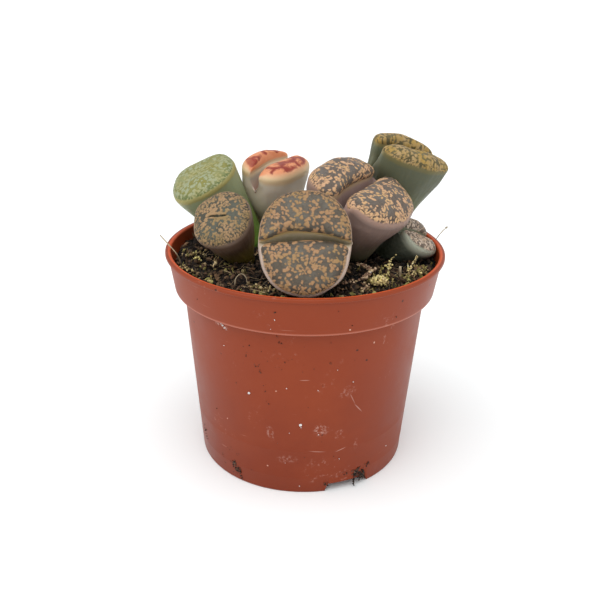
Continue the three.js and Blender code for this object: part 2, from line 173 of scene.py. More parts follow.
def turned(name, section, segments):
    """A closed skin: the section turned once round the upright axis, a hair out of round."""
    count = len(section)
    angle = np.arange(segments) * math.tau / segments
    sway = 1 + 0.0012 * np.sin(2 * angle + 0.7) + 0.0007 * np.sin(5 * angle)
    points = np.stack([
        section[None, :, 0] * (np.cos(angle) * sway)[:, None],
        section[None, :, 0] * (np.sin(angle) * sway)[:, None],
        np.repeat(section[None, :, 1], segments, 0),
    ], -1).reshape(-1, 3)
    faces = []
    for i in range(segments):
        j = (i + 1) % segments
        for k in range(count):
            m = (k + 1) % count
            faces.append((i * count + k, j * count + k, j * count + m, i * count + m))
    return mesh_of(name, points, faces)


def cutter(name, outline, depth, place):
    """A prism of the outline (across, up) that is taken out of the pot, then thrown away."""
    points = [place @ Vector((x, y, z)) for z in (0, depth) for x, y in outline]
    n = len(outline)
    faces = [tuple(range(n))[::-1], tuple(range(n, 2 * n))]
    faces += [(i, (i + 1) % n, n + (i + 1) % n, n + i) for i in range(n)]
    return mesh_of(name, points, faces, smooth=False)


def finished(piece):
    """Turns what a piece's modifiers make into its plain mesh."""
    evaluated = piece.evaluated_get(bpy.context.evaluated_depsgraph_get())
    mesh = bpy.data.meshes.new_from_object(evaluated)
    piece.modifiers.clear()
    piece.data = mesh


pot = turned("pot_shell", pot_section(), POT_SEGMENTS)
cutters = bpy.data.collections.new("cutters")
notch = [
    (-NOTCH_WIDTH / 2, -1), (NOTCH_WIDTH / 2, -1), (NOTCH_WIDTH / 2, 0),
    (NOTCH_TOP_WIDTH / 2, NOTCH_HEIGHT), (-NOTCH_TOP_WIDTH / 2, NOTCH_HEIGHT),
    (-NOTCH_WIDTH / 2, 0),
]
on_edge = Matrix.Translation((0, NOTCH_DEPTH - BASE_RADIUS, 0)) @ Matrix.Rotation(
    math.pi / 2, 4, "X")
for azimuth in NOTCH_AZIMUTHS:
    turn = Matrix.Rotation(math.radians(azimuth + 90), 4, "Z")
    cutters.objects.link(cutter("notch", notch, NOTCH_DEPTH + 1, turn @ on_edge))
hole = [
    (DRAIN_HOLE_RADIUS * math.cos(angle), DRAIN_HOLE_RADIUS * math.sin(angle))
    for angle in (i * math.tau / HOLE_SEGMENTS for i in range(HOLE_SEGMENTS))
]
for i in range(DRAIN_RING_HOLES):
    angle = i * math.tau / DRAIN_RING_HOLES
    place = (DRAIN_RING_RADIUS * math.cos(angle), DRAIN_RING_RADIUS * math.sin(angle), 1)
    cutters.objects.link(cutter("drain", hole, 3, Matrix.Translation(place)))
cut = pot.modifiers.new("cut", "BOOLEAN")
cut.operation = "DIFFERENCE"
cut.operand_type = "COLLECTION"
cut.collection = cutters
cut.solver = "EXACT"
soften = pot.modifiers.new("soften", "BEVEL")
soften.limit_method = "ANGLE"
soften.angle_limit = math.radians(50)
soften.width = 0.1 * MM
soften.segments = 2
finished(pot)
for used in list(cutters.objects):
    bpy.data.objects.remove(used)
bpy.data.collections.remove(cutters)


def put(tree, kind, feeds=None, **settings):
    """Adds a node. Each feed is a value for that input, or the socket that leads into it."""
    node = tree.nodes.new(kind)
    for key, value in settings.items():
        setattr(node, key, value)
    for key, value in (feeds or {}).items():
        if isinstance(value, bpy.types.NodeSocket):
            tree.links.new(value, node.inputs[key])
        else:
            node.inputs[key].default_value = value
    return node


def calc(tree, operation, *values):
    feeds = dict(enumerate(values))
    return put(tree, "ShaderNodeMath", feeds, operation=operation).outputs[0]


def swayed(tree, value, noise, amount):
    """The value, pushed up and down by a noise that runs from 0 to 1."""
    push = calc(tree, "MULTIPLY", calc(tree, "SUBTRACT", noise, 0.5), amount)
    return calc(tree, "ADD", value, push)


def fade(tree, value, start, end, low=0.0, high=1.0):
    """Goes smoothly from low to high while the value goes from start to end."""
    feeds = {"Value": value, "From Min": start, "From Max": end, "To Min": low, "To Max": high}
    return put(tree, "ShaderNodeMapRange", feeds, interpolation_type="SMOOTHSTEP").outputs[0]


def blend(tree, amount, low, high):
    """The low colour where the amount is 0, and the high one where it is 1."""
    feeds = {0: amount, 6: low, 7: high}
    return put(tree, "ShaderNodeMix", feeds, data_type="RGBA").outputs[2]


def speckle(tree, where, scale, detail=2.0, roughness=0.5):
    feeds = {"Vector": where, "Scale": scale, "Detail": detail, "Roughness": roughness}
    return put(tree, "ShaderNodeTexNoise", feeds).outputs["Fac"]


def object_place(tree):
    """The place on the piece that a pattern is laid out on, in metres."""
    return put(tree, "ShaderNodeTexCoord").outputs["Object"]


def number(tree, name):
    """A number that the mesh carries for each of its points."""
    return put(tree, "ShaderNodeAttribute", attribute_name=name).outputs["Fac"]


def paint(red, green, blue):
    """A colour given as it is seen, in 8-bit sRGB."""
    seen = np.array([red, green, blue]) / 255
    linear = np.where(seen > 0.04045, ((seen + 0.055) / 1.055) ** 2.4, seen / 12.92)
    return (*linear.tolist(), 1.0)


def surface(name, **fixed):
    """A material with a Principled shader, and what is the same all over it."""
    material = bpy.data.materials.new(name)
    material.use_nodes = True
    shader = material.node_tree.nodes["Principled BSDF"]
    for key, value in fixed.items():
        shader.inputs[key.replace("_", " ")].default_value = value
    return material


def dressed(material, colour, rough, relief=None):
    """The material, with what changes over it led into its shader."""
    tree = material.node_tree
    shader = tree.nodes["Principled BSDF"]
    tree.links.new(colour, shader.inputs["Base Color"])
    tree.links.new(rough, shader.inputs["Roughness"])
    if relief:
        tree.links.new(relief, shader.inputs["Normal"])
    return material


def raised(tree, height, strength, distance):
    """Fine relief that is too small for the mesh."""
    feeds = {"Height": height, "Strength": strength, "Distance": distance}
    return put(tree, "ShaderNodeBump", feeds).outputs["Normal"]


def opened(tree, side, kind, *names):
    """Gives a node group named sockets of one kind on its INPUT or OUTPUT side."""
    for name in names:
        tree.interface.new_socket(name, in_out=side, socket_type="NodeSocket" + kind)


def specks_group():
    """Small round specks on some cells of a 3-D grid: their mask is 1 on a speck."""
    group = bpy.data.node_groups.new("specks", "ShaderNodeTree")
    opened(group, "INPUT", "Vector", "Vector")
    opened(group, "INPUT", "Float", "Scale", "Size", "Share")
    opened(group, "OUTPUT", "Float", "Mask")
    given = put(group, "NodeGroupInput").outputs
    where, scale, size = given["Vector"], given["Scale"], given["Size"]
    cell = put(group, "ShaderNodeTexVoronoi", {"Vector": where, "Scale": scale}).outputs
    ragged = speckle(group, where, calc(group, "MULTIPLY", scale, 3.0))
    near = swayed(group, cell["Distance"], ragged, 0.25)
    inside = fade(group, near, size, calc(group, "MULTIPLY", size, 0.6))
    lot = put(group, "ShaderNodeSeparateColor", {"Color": cell["Color"]}).outputs[0]
    chosen = calc(group, "LESS_THAN", lot, given["Share"])
    put(group, "NodeGroupOutput", {"Mask": calc(group, "MULTIPLY", inside, chosen)})
    return group


specks = specks_group()


def specked(tree, where, scale, size, share):
    feeds = {"Vector": where, "Scale": scale, "Size": size, "Share": share}
    return put(tree, "ShaderNodeGroup", feeds, node_tree=specks).outputs["Mask"]


MIDDLE_RADIUS = 24  # distances across the wall are measured round the pot at this radius
SMEARS = [  # across from the front and up the wall, half length, half width, turn, strength
    (-6.4, 13.7, 1.0, 2.2, 0.2, 0.4), (3.9, 15.0, 2.0, 1.8, 0.0, 0.55),
    (7.8, 13.9, 1.1, 0.9, 0.2, 0.4), (11.9, 10.4, 0.6, 1.6, 0.0, 0.4),
    (-16.0, 34.8, 2.2, 0.8, -0.2, 0.9), (-3.0, 8.0, 3.0, 1.2, 0.1, 0.25),
    (9.0, 23.0, 2.4, 1.6, 0.4, 0.25),
]
SCRATCHES = [  # in the same order
    (0.4, 26.2, 1.2, 0.12, 0.02, 0.35), (10.1, 21.2, 1.8, 0.14, -1.1, 0.3),
    (11.6, 18.8, 1.8, 0.14, -0.85, 0.4), (3.4, 9.95, 2.2, 0.12, -0.1, 0.35),
    (8.4, 9.8, 1.5, 0.12, 0.3, 0.5),
]


def pot_plastic():
    material = surface("brown_moulded_plastic", Specular_IOR_Level=0.25)
    tree = material.node_tree
    place = object_place(tree)
    x, y, height = put(tree, "ShaderNodeSeparateXYZ", {"Vector": place}).outputs
    radius = calc(tree, "SQRT", calc(
        tree, "ADD", calc(tree, "POWER", x, 2.0), calc(tree, "POWER", y, 2.0)))
    azimuth = calc(tree, "ARCTAN2", x, calc(tree, "MULTIPLY", y, -1.0))
    across = calc(tree, "MULTIPLY", azimuth, MIDDLE_RADIUS * MM)
    round_wall = put(tree, "ShaderNodeCombineXYZ", {0: across, 1: height}).outputs[0]

    # The plastic is painted darker towards the foot and lighter towards the band: painted shade,
    # since the light falls from above.
    low = paint(122, 45, 15)
    high = paint(137, 54, 21)
    colour = blend(tree, fade(tree, height, 2 * MM, 36 * MM), low, high)
    cloud = speckle(tree, place, 70, 4, 0.6)
    colour = blend(tree, fade(tree, cloud, 0.35, 0.75, 0, 0.35), colour, paint(150, 66, 31))
    # Painted highlight: the top of the lip is painted a brighter orange, where its round catches
    # the light.
    lip = fade(tree, height, (POT_HEIGHT - 0.6) * MM, (POT_HEIGHT - 0.15) * MM)
    lip = calc(tree, "MULTIPLY", lip, fade(
        tree, radius, (LIP_RADIUS - 0.35) * MM, (LIP_RADIUS - 0.7) * MM))
    colour = blend(tree, calc(tree, "MULTIPLY", lip, 0.85), colour, paint(206, 84, 38))
    # Painted highlight: a pale line along the rounded lower edge of the band, where it catches the
    # light.
    shoulder = fade(tree, height, (BAND_BOTTOM + 0.55) * MM, (BAND_BOTTOM + 0.25) * MM)
    edge_zone = calc(tree, "MULTIPLY", shoulder, fade(
        tree, radius, (BAND_BOTTOM_RADIUS - 0.45) * MM, (BAND_BOTTOM_RADIUS - 0.25) * MM))
    colour = blend(tree, calc(tree, "MULTIPLY", edge_zone, 0.4), colour, paint(214, 138, 116))
    # Painted shade: inside the band and the wall the plastic is painted dark brown, more so down
    # from the lip, broken up by real smears of soil. The same mask makes it a little rougher.
    wall_out = calc(tree, "ADD", (BASE_RADIUS - 0.35) * MM, calc(
        tree, "MULTIPLY", height, (WALL_TOP_RADIUS - BASE_RADIUS) / BAND_BOTTOM))
    rise = fade(tree, height, BAND_BOTTOM * MM, (BAND_BOTTOM + 0.3) * MM)
    band_out = (BAND_BOTTOM_RADIUS - WALL_TOP_RADIUS - 0.1) * MM
    band_out = calc(tree, "ADD", wall_out, calc(tree, "MULTIPLY", rise, band_out))
    inner = calc(tree, "LESS_THAN", radius, band_out)
    shade_and_smears = fade(tree, speckle(tree, place, 420, 5, 0.7), 0.38, 0.62, 0.35, 1.0)
    inside_shade_and_soil = calc(tree, "MULTIPLY", inner, shade_and_smears)
    inside_shade_and_soil = calc(tree, "MULTIPLY", inside_shade_and_soil, fade(
        tree, height, (POT_HEIGHT - 0.2) * MM, (POT_HEIGHT - 1.6) * MM))
    colour = blend(tree, calc(tree, "MULTIPLY", inside_shade_and_soil, 0.85), colour, paint(66, 20, 10))

    stretched = put(tree, "ShaderNodeMapping", {
        "Vector": round_wall, "Rotation": (0, 0, 0.25), "Scale": (110, 1400, 1)}).outputs[0]
    scuff = fade(tree, speckle(tree, stretched, 1.0, 3, 0.6), 0.67, 0.74)
    where_scuffed = fade(tree, speckle(tree, place, 90, 2), 0.5, 0.62)
    scuff = calc(tree, "MULTIPLY", scuff, where_scuffed)
    dusty = calc(
        tree, "MULTIPLY", fade(tree, speckle(tree, place, 900, 4, 0.7), 0.56, 0.72),
        fade(tree, speckle(tree, place, 130, 2), 0.54, 0.66))
    colour = blend(tree, calc(tree, "MULTIPLY", scuff, 0.35), colour, paint(196, 138, 118))
    colour = blend(tree, calc(tree, "MULTIPLY", dusty, 0.3), colour, paint(205, 160, 145))
    colour = blend(tree, specked(tree, place, 620, 0.12, 0.025), colour, paint(206, 160, 140))
    colour = blend(tree, specked(tree, place, 520, 0.15, 0.05), colour, paint(70, 32, 20))

    torn = speckle(tree, round_wall, 1500, 4, 0.7)
    for marks, start, end in ((SMEARS, 0.46, 0.66), (SCRATCHES, 0.3, 0.45)):
        for across, up, length, width, turn, strength in marks:
            near = put(tree, "ShaderNodeMapping", {
                "Vector": round_wall, "Location": (across * MM, up * MM, 0),
                "Rotation": (0, 0, turn), "Scale": (length * MM, width * MM, 1)},
                vector_type="TEXTURE").outputs[0]
            near = put(tree, "ShaderNodeVectorMath", {0: near}, operation="LENGTH").outputs[1]
            mark = calc(tree, "MULTIPLY", fade(tree, near, 1.0, 0.3), fade(tree, torn, start, end))
            mark = calc(tree, "MULTIPLY", mark, strength)
            colour = blend(tree, mark, colour, paint(216, 176, 162))

    rough = fade(tree, cloud, 0.3, 0.7, 0.36, 0.5)
    rough = calc(tree, "ADD", rough, calc(tree, "MULTIPLY", dusty, 0.25))
    rough = calc(tree, "ADD", rough, calc(tree, "MULTIPLY", inside_shade_and_soil, 0.15))
    grain = calc(
        tree, "ADD", calc(tree, "MULTIPLY", speckle(tree, place, 2400, 3), 0.35),
        calc(tree, "MULTIPLY", speckle(tree, place, 260, 2), 0.65))
    return dressed(material, colour, rough, raised(tree, grain, 0.35, 0.06 * MM))


pot.data.materials.clear()
pot.data.materials.append(pot_plastic())
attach(pot, "root")
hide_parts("pot")

# ---------------------------------------------------------------------------------------------
# Peat: dark crumbly potting soil that fills the pot to just under three millimetres below the
# lip. It was pressed in round the roots by hand, so each plant stands in its own hollow.
# ---------------------------------------------------------------------------------------------
SOIL_LEVEL = POT_HEIGHT - 2.8
SOIL_CLEARANCE = 0.12
SOIL_GRID = 270
PALE_PLACES = [  # where the peat has dried and shows its pale bits: x, y, reach, how much
    (-21, -8, 13, 1.0), (18, -11, 10, 1.0), (-8, -21, 8, 1.0), (8, -21, 7, 0.9), (3, 23, 8, 0.8),
    (-20, 18, 8, 0.8), (25, 5, 6, 0.8),
]
HOLLOW_DEPTH = 4.5
NECKS = {  # where each plant goes into the soil, and its radius there
    "lithops_front": (0.5, -4, 3.2), "lithops_right_front": (10, 4.6, 3.2),
    "lithops_orange": (-3.9, 18.2, 3), "lithops_right_back": (16.3, 13.2, 2.6),
    "lithops_right_small": (16.3, 5.2, 2.6), "lithops_green": (-10.4, 7.3, 2.9),
    "lithops_left_small": (-12.3, -0.8, 2.4),
}


def waves(points, wavelength, seed, spread=0.25, count=72):
    """Smooth random relief from -1 to 1 or so, made of plane waves of about one wavelength."""
    draw = np.random.default_rng(seed)
    points = np.asarray(points, float)
    ways = draw.normal(size=(points.shape[1], count))
    ways /= np.linalg.norm(ways, axis=0)
    ways *= math.tau / wavelength * (1 + spread * draw.uniform(-1, 1, count))
    return np.cos(points @ ways + draw.uniform(0, math.tau, count)).sum(1) * math.sqrt(2 / count)


def pushes(points, wavelength, seed):
    """A smooth random push, one way and the other, for each point."""
    return np.column_stack([waves(points, wavelength, seed), waves(points, wavelength, seed + 1)])


def ease(value, start, end):
    t = np.clip((np.asarray(value, float) - start) / (end - start), 0, 1)
    return t * t * (3 - 2 * t)


def nearby_spots(points, size, seed, inset):
    """A grid has one spot at random in each cell. For the nine cells round every point: how far
    off the cell's spot is, in cells, and the cell's own large random number."""
    cell = points / size
    base = np.floor(cell).astype(np.int64)
    for i in (-1, 0, 1):
        for j in (-1, 0, 1):
            corner = base + [i, j]
            lot = (corner[:, 0] * 73856093) ^ (corner[:, 1] * 19349663) ^ (seed * 83492791)
            lot = (lot * 2654435761) % 4294967296
            inside = np.column_stack([lot % 65536, lot // 65536]) / 65536
            spot = corner + inset + (1 - 2 * inset) * inside
            yield np.linalg.norm(cell - spot, axis=1), lot


def nearest_two(distance, first, second):
    """The nearest and next nearest distance so far, with one more distance taken in."""
    second = np.where(distance < first, first, np.minimum(second, distance))
    return np.minimum(first, distance), second


def lumps(points, size, seed):
    """Packed round lumps of one size: 1 on the top of a lump, 0 in the crack between them."""
    first = second = np.full(len(points), 9.0)
    for distance, _ in nearby_spots(points, size, seed, 0.1):
        first, second = nearest_two(distance, first, second)
    return np.clip(second - first, 0, 1)


def soil_height(points):
    """Height of the bare soil, with a hollow round the neck of each plant."""
    x, y = points.T
    z = SOIL_LEVEL + 0.35 * np.sin(0.23 * x + 1.1) * np.cos(0.19 * y - 0.6)
    bent = points + 0.25 * pushes(points, 1.3, 3)
    z = z + 0.28 * waves(points, 6.0, 5) + 0.9 * (lumps(bent, 2.3, 6) ** 0.6 - 0.5)
    z = z + 0.42 * (lumps(bent, 1.05, 7) ** 0.6 - 0.4) + 0.12 * waves(points, 0.55, 8)
    for neck_x, neck_y, radius in NECKS.values():
        hollow = ease(np.hypot(x - neck_x, y - neck_y), radius + 0.3, radius - 0.4)
        z = z - HOLLOW_DEPTH * hollow
    return z


def soil_edge():
    """Radius of the soil where its top meets the inside of the band."""
    lip = POT_HEIGHT - LIP_HEIGHT
    shoulder = BAND_BOTTOM + WALL
    inner_lip = LIP_INNER_RADIUS - 0.1
    inner_shoulder = BAND_BOTTOM_RADIUS - WALL
    drop = (lip - SOIL_LEVEL) / (lip - shoulder)
    return inner_lip - (inner_lip - inner_shoulder) * drop - SOIL_CLEARANCE


def soil_grid(n, edge):
    """A square grid of points drawn out to a round one, and how far out each lies from 0 to 1."""
    a, b = np.meshgrid(np.linspace(-1, 1, n), np.linspace(-1, 1, n))
    a, b = a.ravel(), b.ravel()
    big = np.maximum(np.abs(a), np.abs(b))
    small = np.minimum(np.abs(a), np.abs(b))
    turn = np.where(big > 0, small / np.maximum(big, 1e-9), 0) * math.pi / 4
    azimuth = np.where(np.abs(a) >= np.abs(b), turn, math.pi / 2 - turn)
    top = edge * big[:, None] * np.stack([
        np.sign(a) * np.cos(azimuth), np.sign(b) * np.sin(azimuth)], 1)
    return top, big


def soil_body():
    """A closed block: the rough top, and a plain side and bottom inside the pot."""
    n = SOIL_GRID
    edge = soil_edge()
    top, out = soil_grid(n, edge)
    z = soil_height(top) - 0.5 * ease(out, 0.985, 1.0)
    points = [np.column_stack([top, z])]
    faces = [
        (i * n + j, i * n + j + 1, (i + 1) * n + j + 1, (i + 1) * n + j)
        for i in range(n - 1) for j in range(n - 1)
    ]
    ring = [*range(n - 1), *[k * n + n - 1 for k in range(n - 1)]]
    ring += [*[n * n - 1 - k for k in range(n - 1)], *[(n - 1 - k) * n for k in range(n - 1)]]
    rim = points[0][ring, :2] / edge
    shoulder = BAND_BOTTOM + WALL + 0.3
    low = FLOOR_UNDERSIDE + FLOOR_THICKNESS + 0.3
    inner_top = wall_radius(BAND_BOTTOM) - WALL - 0.4
    start = n * n
    for radius, height in (
        (BAND_BOTTOM_RADIUS - WALL - 0.3, shoulder),
        (inner_top, shoulder),
        (wall_radius(low) - WALL - 0.4, low),
    ):
        points.append(np.column_stack([rim * radius, np.full(len(rim), height)]))
        below = list(range(start, start + len(ring)))
        start += len(ring)
        faces += [
            (ring[k], below[k], below[(k + 1) % len(ring)], ring[(k + 1) % len(ring)])
            for k in range(len(ring))
        ]
        ring = below
    faces.append(tuple(reversed(ring)))
    points = np.concatenate(points)
    out = np.linalg.norm(top, axis=1)
    room = np.zeros(len(points))
    room[: n * n] = ease(out, edge, edge - 0.5)
    for x, y, radius in NECKS.values():
        room[: n * n] *= ease(np.hypot(top[:, 0] - x, top[:, 1] - y), radius, radius + 0.6)
    clear = room.copy()
    clear[: n * n] *= ease(out, edge - 0.6, edge - 2.6)
    pale = np.zeros(len(points))
    for x, y, reach, most in PALE_PLACES:
        pale = np.maximum(pale, most * ease(
            np.hypot(points[:, 0] - x, points[:, 1] - y), reach, reach * 0.35))
    pale = 0.25 + 0.75 * pale * ease(waves(points[:, :2], 3.0, 15), -0.8, 0.5)
    return mesh_of("peat", points, faces, {"room": room, "pale": pale, "clear": clear})


def peat_matter():
    material = surface("peat", Specular_IOR_Level=0.3)
    tree = material.node_tree
    place = object_place(tree)
    height = put(tree, "ShaderNodeSeparateXYZ", {"Vector": place}).outputs[2]
    pale = fade(tree, number(tree, "pale"), 0.2, 0.8)
    tint = calc(tree, "MULTIPLY", number(tree, "tint"), fade(tree, pale, 0.0, 1.0, 0.78, 1.45))
    grain = speckle(tree, place, 1100, 5, 0.75)
    # Painted light and shade: the peat and its crumbs are painted paler the higher they stand
    # above the soil, and near black low down between them.
    lit_by_height = calc(tree, "ADD", height, calc(tree, "MULTIPLY", grain, 0.0009))
    lit_by_height = calc(tree, "ADD", lit_by_height, calc(tree, "MULTIPLY", pale, 0.0007))
    lit_by_height = fade(tree, lit_by_height, (SOIL_LEVEL + 0.4) * MM, (SOIL_LEVEL + 1.7) * MM)
    crumb = blend(tree, fade(tree, tint, 0.15, 0.6), paint(34, 25, 20), paint(98, 74, 56))
    crumb = blend(tree, fade(tree, tint, 0.6, 0.8), crumb, paint(138, 108, 80))
    crumb = blend(tree, fade(tree, tint, 0.82, 0.93), crumb, paint(214, 188, 142))
    crumb = blend(tree, fade(tree, tint, 0.94, 0.98), crumb, paint(166, 156, 92))
    crumb = blend(tree, fade(tree, grain, 0.42, 0.66, 0, 0.45), crumb, paint(34, 24, 18))
    colour = blend(tree, lit_by_height, paint(6, 4, 3), crumb)
    wet = fade(tree, speckle(tree, place, 160, 2), 0.4, 0.62, 0.95, 0.6)
    return dressed(material, colour, wet, raised(tree, grain, 0.9, 0.3 * MM))


peat = soil_body()
peat_material = peat_matter()
peat.data.materials.append(peat_material)
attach(peat, "root")
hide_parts("soil")

# ---------------------------------------------------------------------------------------------
# Crumbs: loose bits of peat, bark chips and grit that lie on the soil between the plants. They
# were tipped in with the soil, so they lie at random and each kind has its own few shapes.
# ---------------------------------------------------------------------------------------------
CRUMB_SIDES = 5
CRUMB_ROWS = 3
CRUMB_ROUGHNESS = 0.3


def lump_shape(name, seed, stretch):
    """One bit about 1 mm across with a few faces, to be laid out many times."""
    around, rows = CRUMB_SIDES, CRUMB_ROWS
    draw = np.random.default_rng(seed)
    points = [(0, 0, -0.5)]
    for k in range(1, rows + 1):
        up = math.pi * (k / (rows + 1) - 0.5)
        for i in range(around):
            turn = math.tau * (i + 0.5 * (k % 2)) / around
            points.append((
                0.5 * math.cos(up) * math.cos(turn), 0.5 * math.cos(up) * math.sin(turn),
                0.5 * math.sin(up)))
    points.append((0, 0, 0.5))
    points = np.array(points) * (1 + CRUMB_ROUGHNESS * draw.uniform(-1, 1, (len(points), 1)))
    points = points * stretch
    faces = [(0, 1 + (i + 1) % around, 1 + i) for i in range(around)]
    for k in range(rows - 1):
        for i in range(around):
            a, b = 1 + k * around + i, 1 + k * around + (i + 1) % around
            faces.append((a, b, b + around, a + around))
    last = 1 + (rows - 1) * around
    faces += [(last + i, last + (i + 1) % around, len(points) - 1) for i in range(around)]
    return mesh_of(name, points, faces, smooth=False)


def scatter_tree():
    """Lays copies of the shapes in a collection over a surface, where its mask lets them."""
    tree = bpy.data.node_groups.new("lay_out", "GeometryNodeTree")
    opened(tree, "INPUT", "Geometry", "Surface")
    opened(tree, "INPUT", "Collection", "Shapes")
    opened(
        tree, "INPUT", "Float", "Mask", "Per square metre", "Smallest", "Largest", "Lift", "Tilt")
    opened(tree, "INPUT", "Int", "Seed")
    opened(tree, "INPUT", "Material", "Finish")
    opened(tree, "OUTPUT", "Geometry", "Bits")
    given = put(tree, "NodeGroupInput").outputs
    density = calc(tree, "MULTIPLY", given["Per square metre"], given["Mask"])
    spots = put(tree, "GeometryNodeDistributePointsOnFaces", {
        "Mesh": given["Surface"], "Density": density, "Seed": given["Seed"]}).outputs
    shapes = put(tree, "GeometryNodeCollectionInfo", {
        "Collection": given["Shapes"], "Separate Children": True, "Reset Children": True,
    }).outputs[0]

    def draw(kind, low, high, shift):
        """A random value for each spot. The node keeps other sockets for each kind of value."""
        low_in, high_in, value = {"FLOAT": (2, 3, 1), "FLOAT_VECTOR": (0, 1, 0)}[kind]
        feeds = {low_in: low, high_in: high, "Seed": calc(tree, "ADD", given["Seed"], shift)}
        return put(tree, "FunctionNodeRandomValue", feeds, data_type=kind).outputs[value]

    size = draw("FLOAT", 0.0, 1.0, 11.0)
    size = calc(tree, "POWER", size, 2.2)
    size = fade(tree, size, 0.0, 1.0, given["Smallest"], given["Largest"])
    lean = put(tree, "ShaderNodeVectorMath", {
        0: draw("FLOAT_VECTOR", (-1.0, -1.0, 0.0), (1.0, 1.0, 0.0), 23.0),
        "Scale": given["Tilt"]}, operation="SCALE").outputs[0]
    turn = put(tree, "ShaderNodeVectorMath", {
        0: lean, 1: draw("FLOAT_VECTOR", (0.0, 0.0, 0.0), (0.0, 0.0, math.tau), 31.0),
    }, operation="ADD").outputs[0]
    raised_by = put(tree, "ShaderNodeCombineXYZ", {
        2: calc(tree, "MULTIPLY", size, given["Lift"])}).outputs[0]
    set_up = put(tree, "GeometryNodeSetPosition", {
        "Geometry": spots["Points"], "Offset": raised_by}).outputs[0]
    laid = put(tree, "GeometryNodeInstanceOnPoints", {
        "Points": set_up, "Instance": shapes, "Pick Instance": True,
        "Rotation": turn, "Scale": size}).outputs[0]
    named = put(tree, "GeometryNodeStoreNamedAttribute", {
        "Geometry": laid, "Name": "tint", "Value": draw("FLOAT", 0.0, 1.0, 47.0),
    }, data_type="FLOAT", domain="INSTANCE").outputs[0]
    real = put(tree, "GeometryNodeRealizeInstances", {"Geometry": named}).outputs[0]
    done = put(tree, "GeometryNodeSetMaterial", {
        "Geometry": real, "Material": given["Finish"]}).outputs[0]
    put(tree, "NodeGroupOutput", {"Bits": done})
    return tree


lay_out = scatter_tree()


def scatter(name, over, shapes, mask, finish, slot, **values):
    """Makes one plain mesh of all the bits that the tree lays over a surface."""
    kit = bpy.data.collections.new(name + "_shapes")
    for shape in shapes:
        kit.objects.link(shape)
    carrier = bpy.data.objects.new(name, over.data)
    bpy.context.scene.collection.objects.link(carrier)
    layer = carrier.modifiers.new("lay_out", "NODES")
    layer.node_group = lay_out
    sockets = {
        s.name: s.identifier for s in lay_out.interface.items_tree if s.in_out == "INPUT"
    }
    layer[sockets["Shapes"]] = kit
    layer[sockets["Finish"]] = finish
    layer[sockets["Mask"] + "_use_attribute"] = True
    layer[sockets["Mask"] + "_attribute_name"] = mask
    for key, value in values.items():
        layer[sockets[key.replace("_", " ")]] = value
    finished(carrier)
    for shape in shapes:
        bpy.data.objects.remove(shape)
    bpy.data.collections.remove(kit)
    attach(carrier, "root")


crumb_shapes = [
    lump_shape("crumb_a", 1, (1.0, 0.9, 0.7)),
    lump_shape("crumb_b", 2, (1.3, 0.8, 0.45)),
    lump_shape("crumb_c", 3, (0.9, 1.0, 0.9)),
    lump_shape("crumb_d", 4, (1.7, 0.45, 0.4)),
]
scatter(
    "peat_crumbs", peat, crumb_shapes, "room", peat_material, "soil",
    Per_square_metre=1.72e6, Smallest=0.18, Largest=1.15, Lift=0.0003, Tilt=1.2, Seed=5)


def chip_shape(name, seed, length, width, thick):
    """A flake of bark: a thin bent slab with torn edges."""
    draw = np.random.default_rng(seed)
    columns = 6
    points, faces = [], []
    for i in range(columns):
        t = i / (columns - 1) - 0.5
        half = width / 2 * (0.45 + 0.55 * math.cos(math.pi * t * 0.9)) * draw.uniform(0.75, 1.2)
        bend = 0.12 * length * math.cos(math.pi * t) + draw.uniform(-0.04, 0.04) * length
        for side, lift in ((-1, 0), (1, 0), (1, 1), (-1, 1)):
            points.append((
                t * length, side * half + draw.uniform(-0.06, 0.06), bend + lift * thick))
    for i in range(columns - 1):
        for k in range(4):
            a, b = i * 4 + k, i * 4 + (k + 1) % 4
            faces.append((a, b, b + 4, a + 4))
    faces += [(3, 2, 1, 0), tuple(range(columns * 4 - 4, columns * 4))]
    piece = mesh_of(name, points, faces, smooth=False)
    turned_out = bmesh.new()
    turned_out.from_mesh(piece.data)
    bmesh.ops.recalc_face_normals(turned_out, faces=turned_out.faces)
    turned_out.to_mesh(piece.data)
    turned_out.free()
    return piece


def bark_matter():
    material = surface("bark_chips", Specular_IOR_Level=0.25)
    tree = material.node_tree
    place = object_place(tree)
    tint = number(tree, "tint")
    grain = speckle(tree, place, 1700, 4, 0.7)
    colour = blend(tree, fade(tree, tint, 0.2, 1.0), paint(46, 32, 24), paint(142, 108, 76))
    cracks = blend(tree, 0.55, colour, paint(30, 20, 14))
    colour = blend(tree, fade(tree, grain, 0.4, 0.68), cracks, colour)
    rough = fade(tree, grain, 0.2, 0.8, 0.9, 0.65)
    return dressed(material, colour, rough, raised(tree, grain, 0.8, 0.2 * MM))


bark_shapes = [
    chip_shape("chip_a", 11, 2.2, 0.8, 0.22),
    chip_shape("chip_b", 12, 1.6, 1.0, 0.25),
    chip_shape("chip_c", 13, 3.0, 0.6, 0.2),
]
scatter(
    "bark_chips", peat, bark_shapes, "clear", bark_matter(), "soil",
    Per_square_metre=1.0e5, Smallest=0.35, Largest=0.95, Lift=0.0003, Tilt=0.8, Seed=12)

# ---------------------------------------------------------------------------------------------
# Fibres: dry root hairs and moss threads, tan to nearly white, that came with the peat. They
# curl among the crumbs and lie loose on them.
# ---------------------------------------------------------------------------------------------


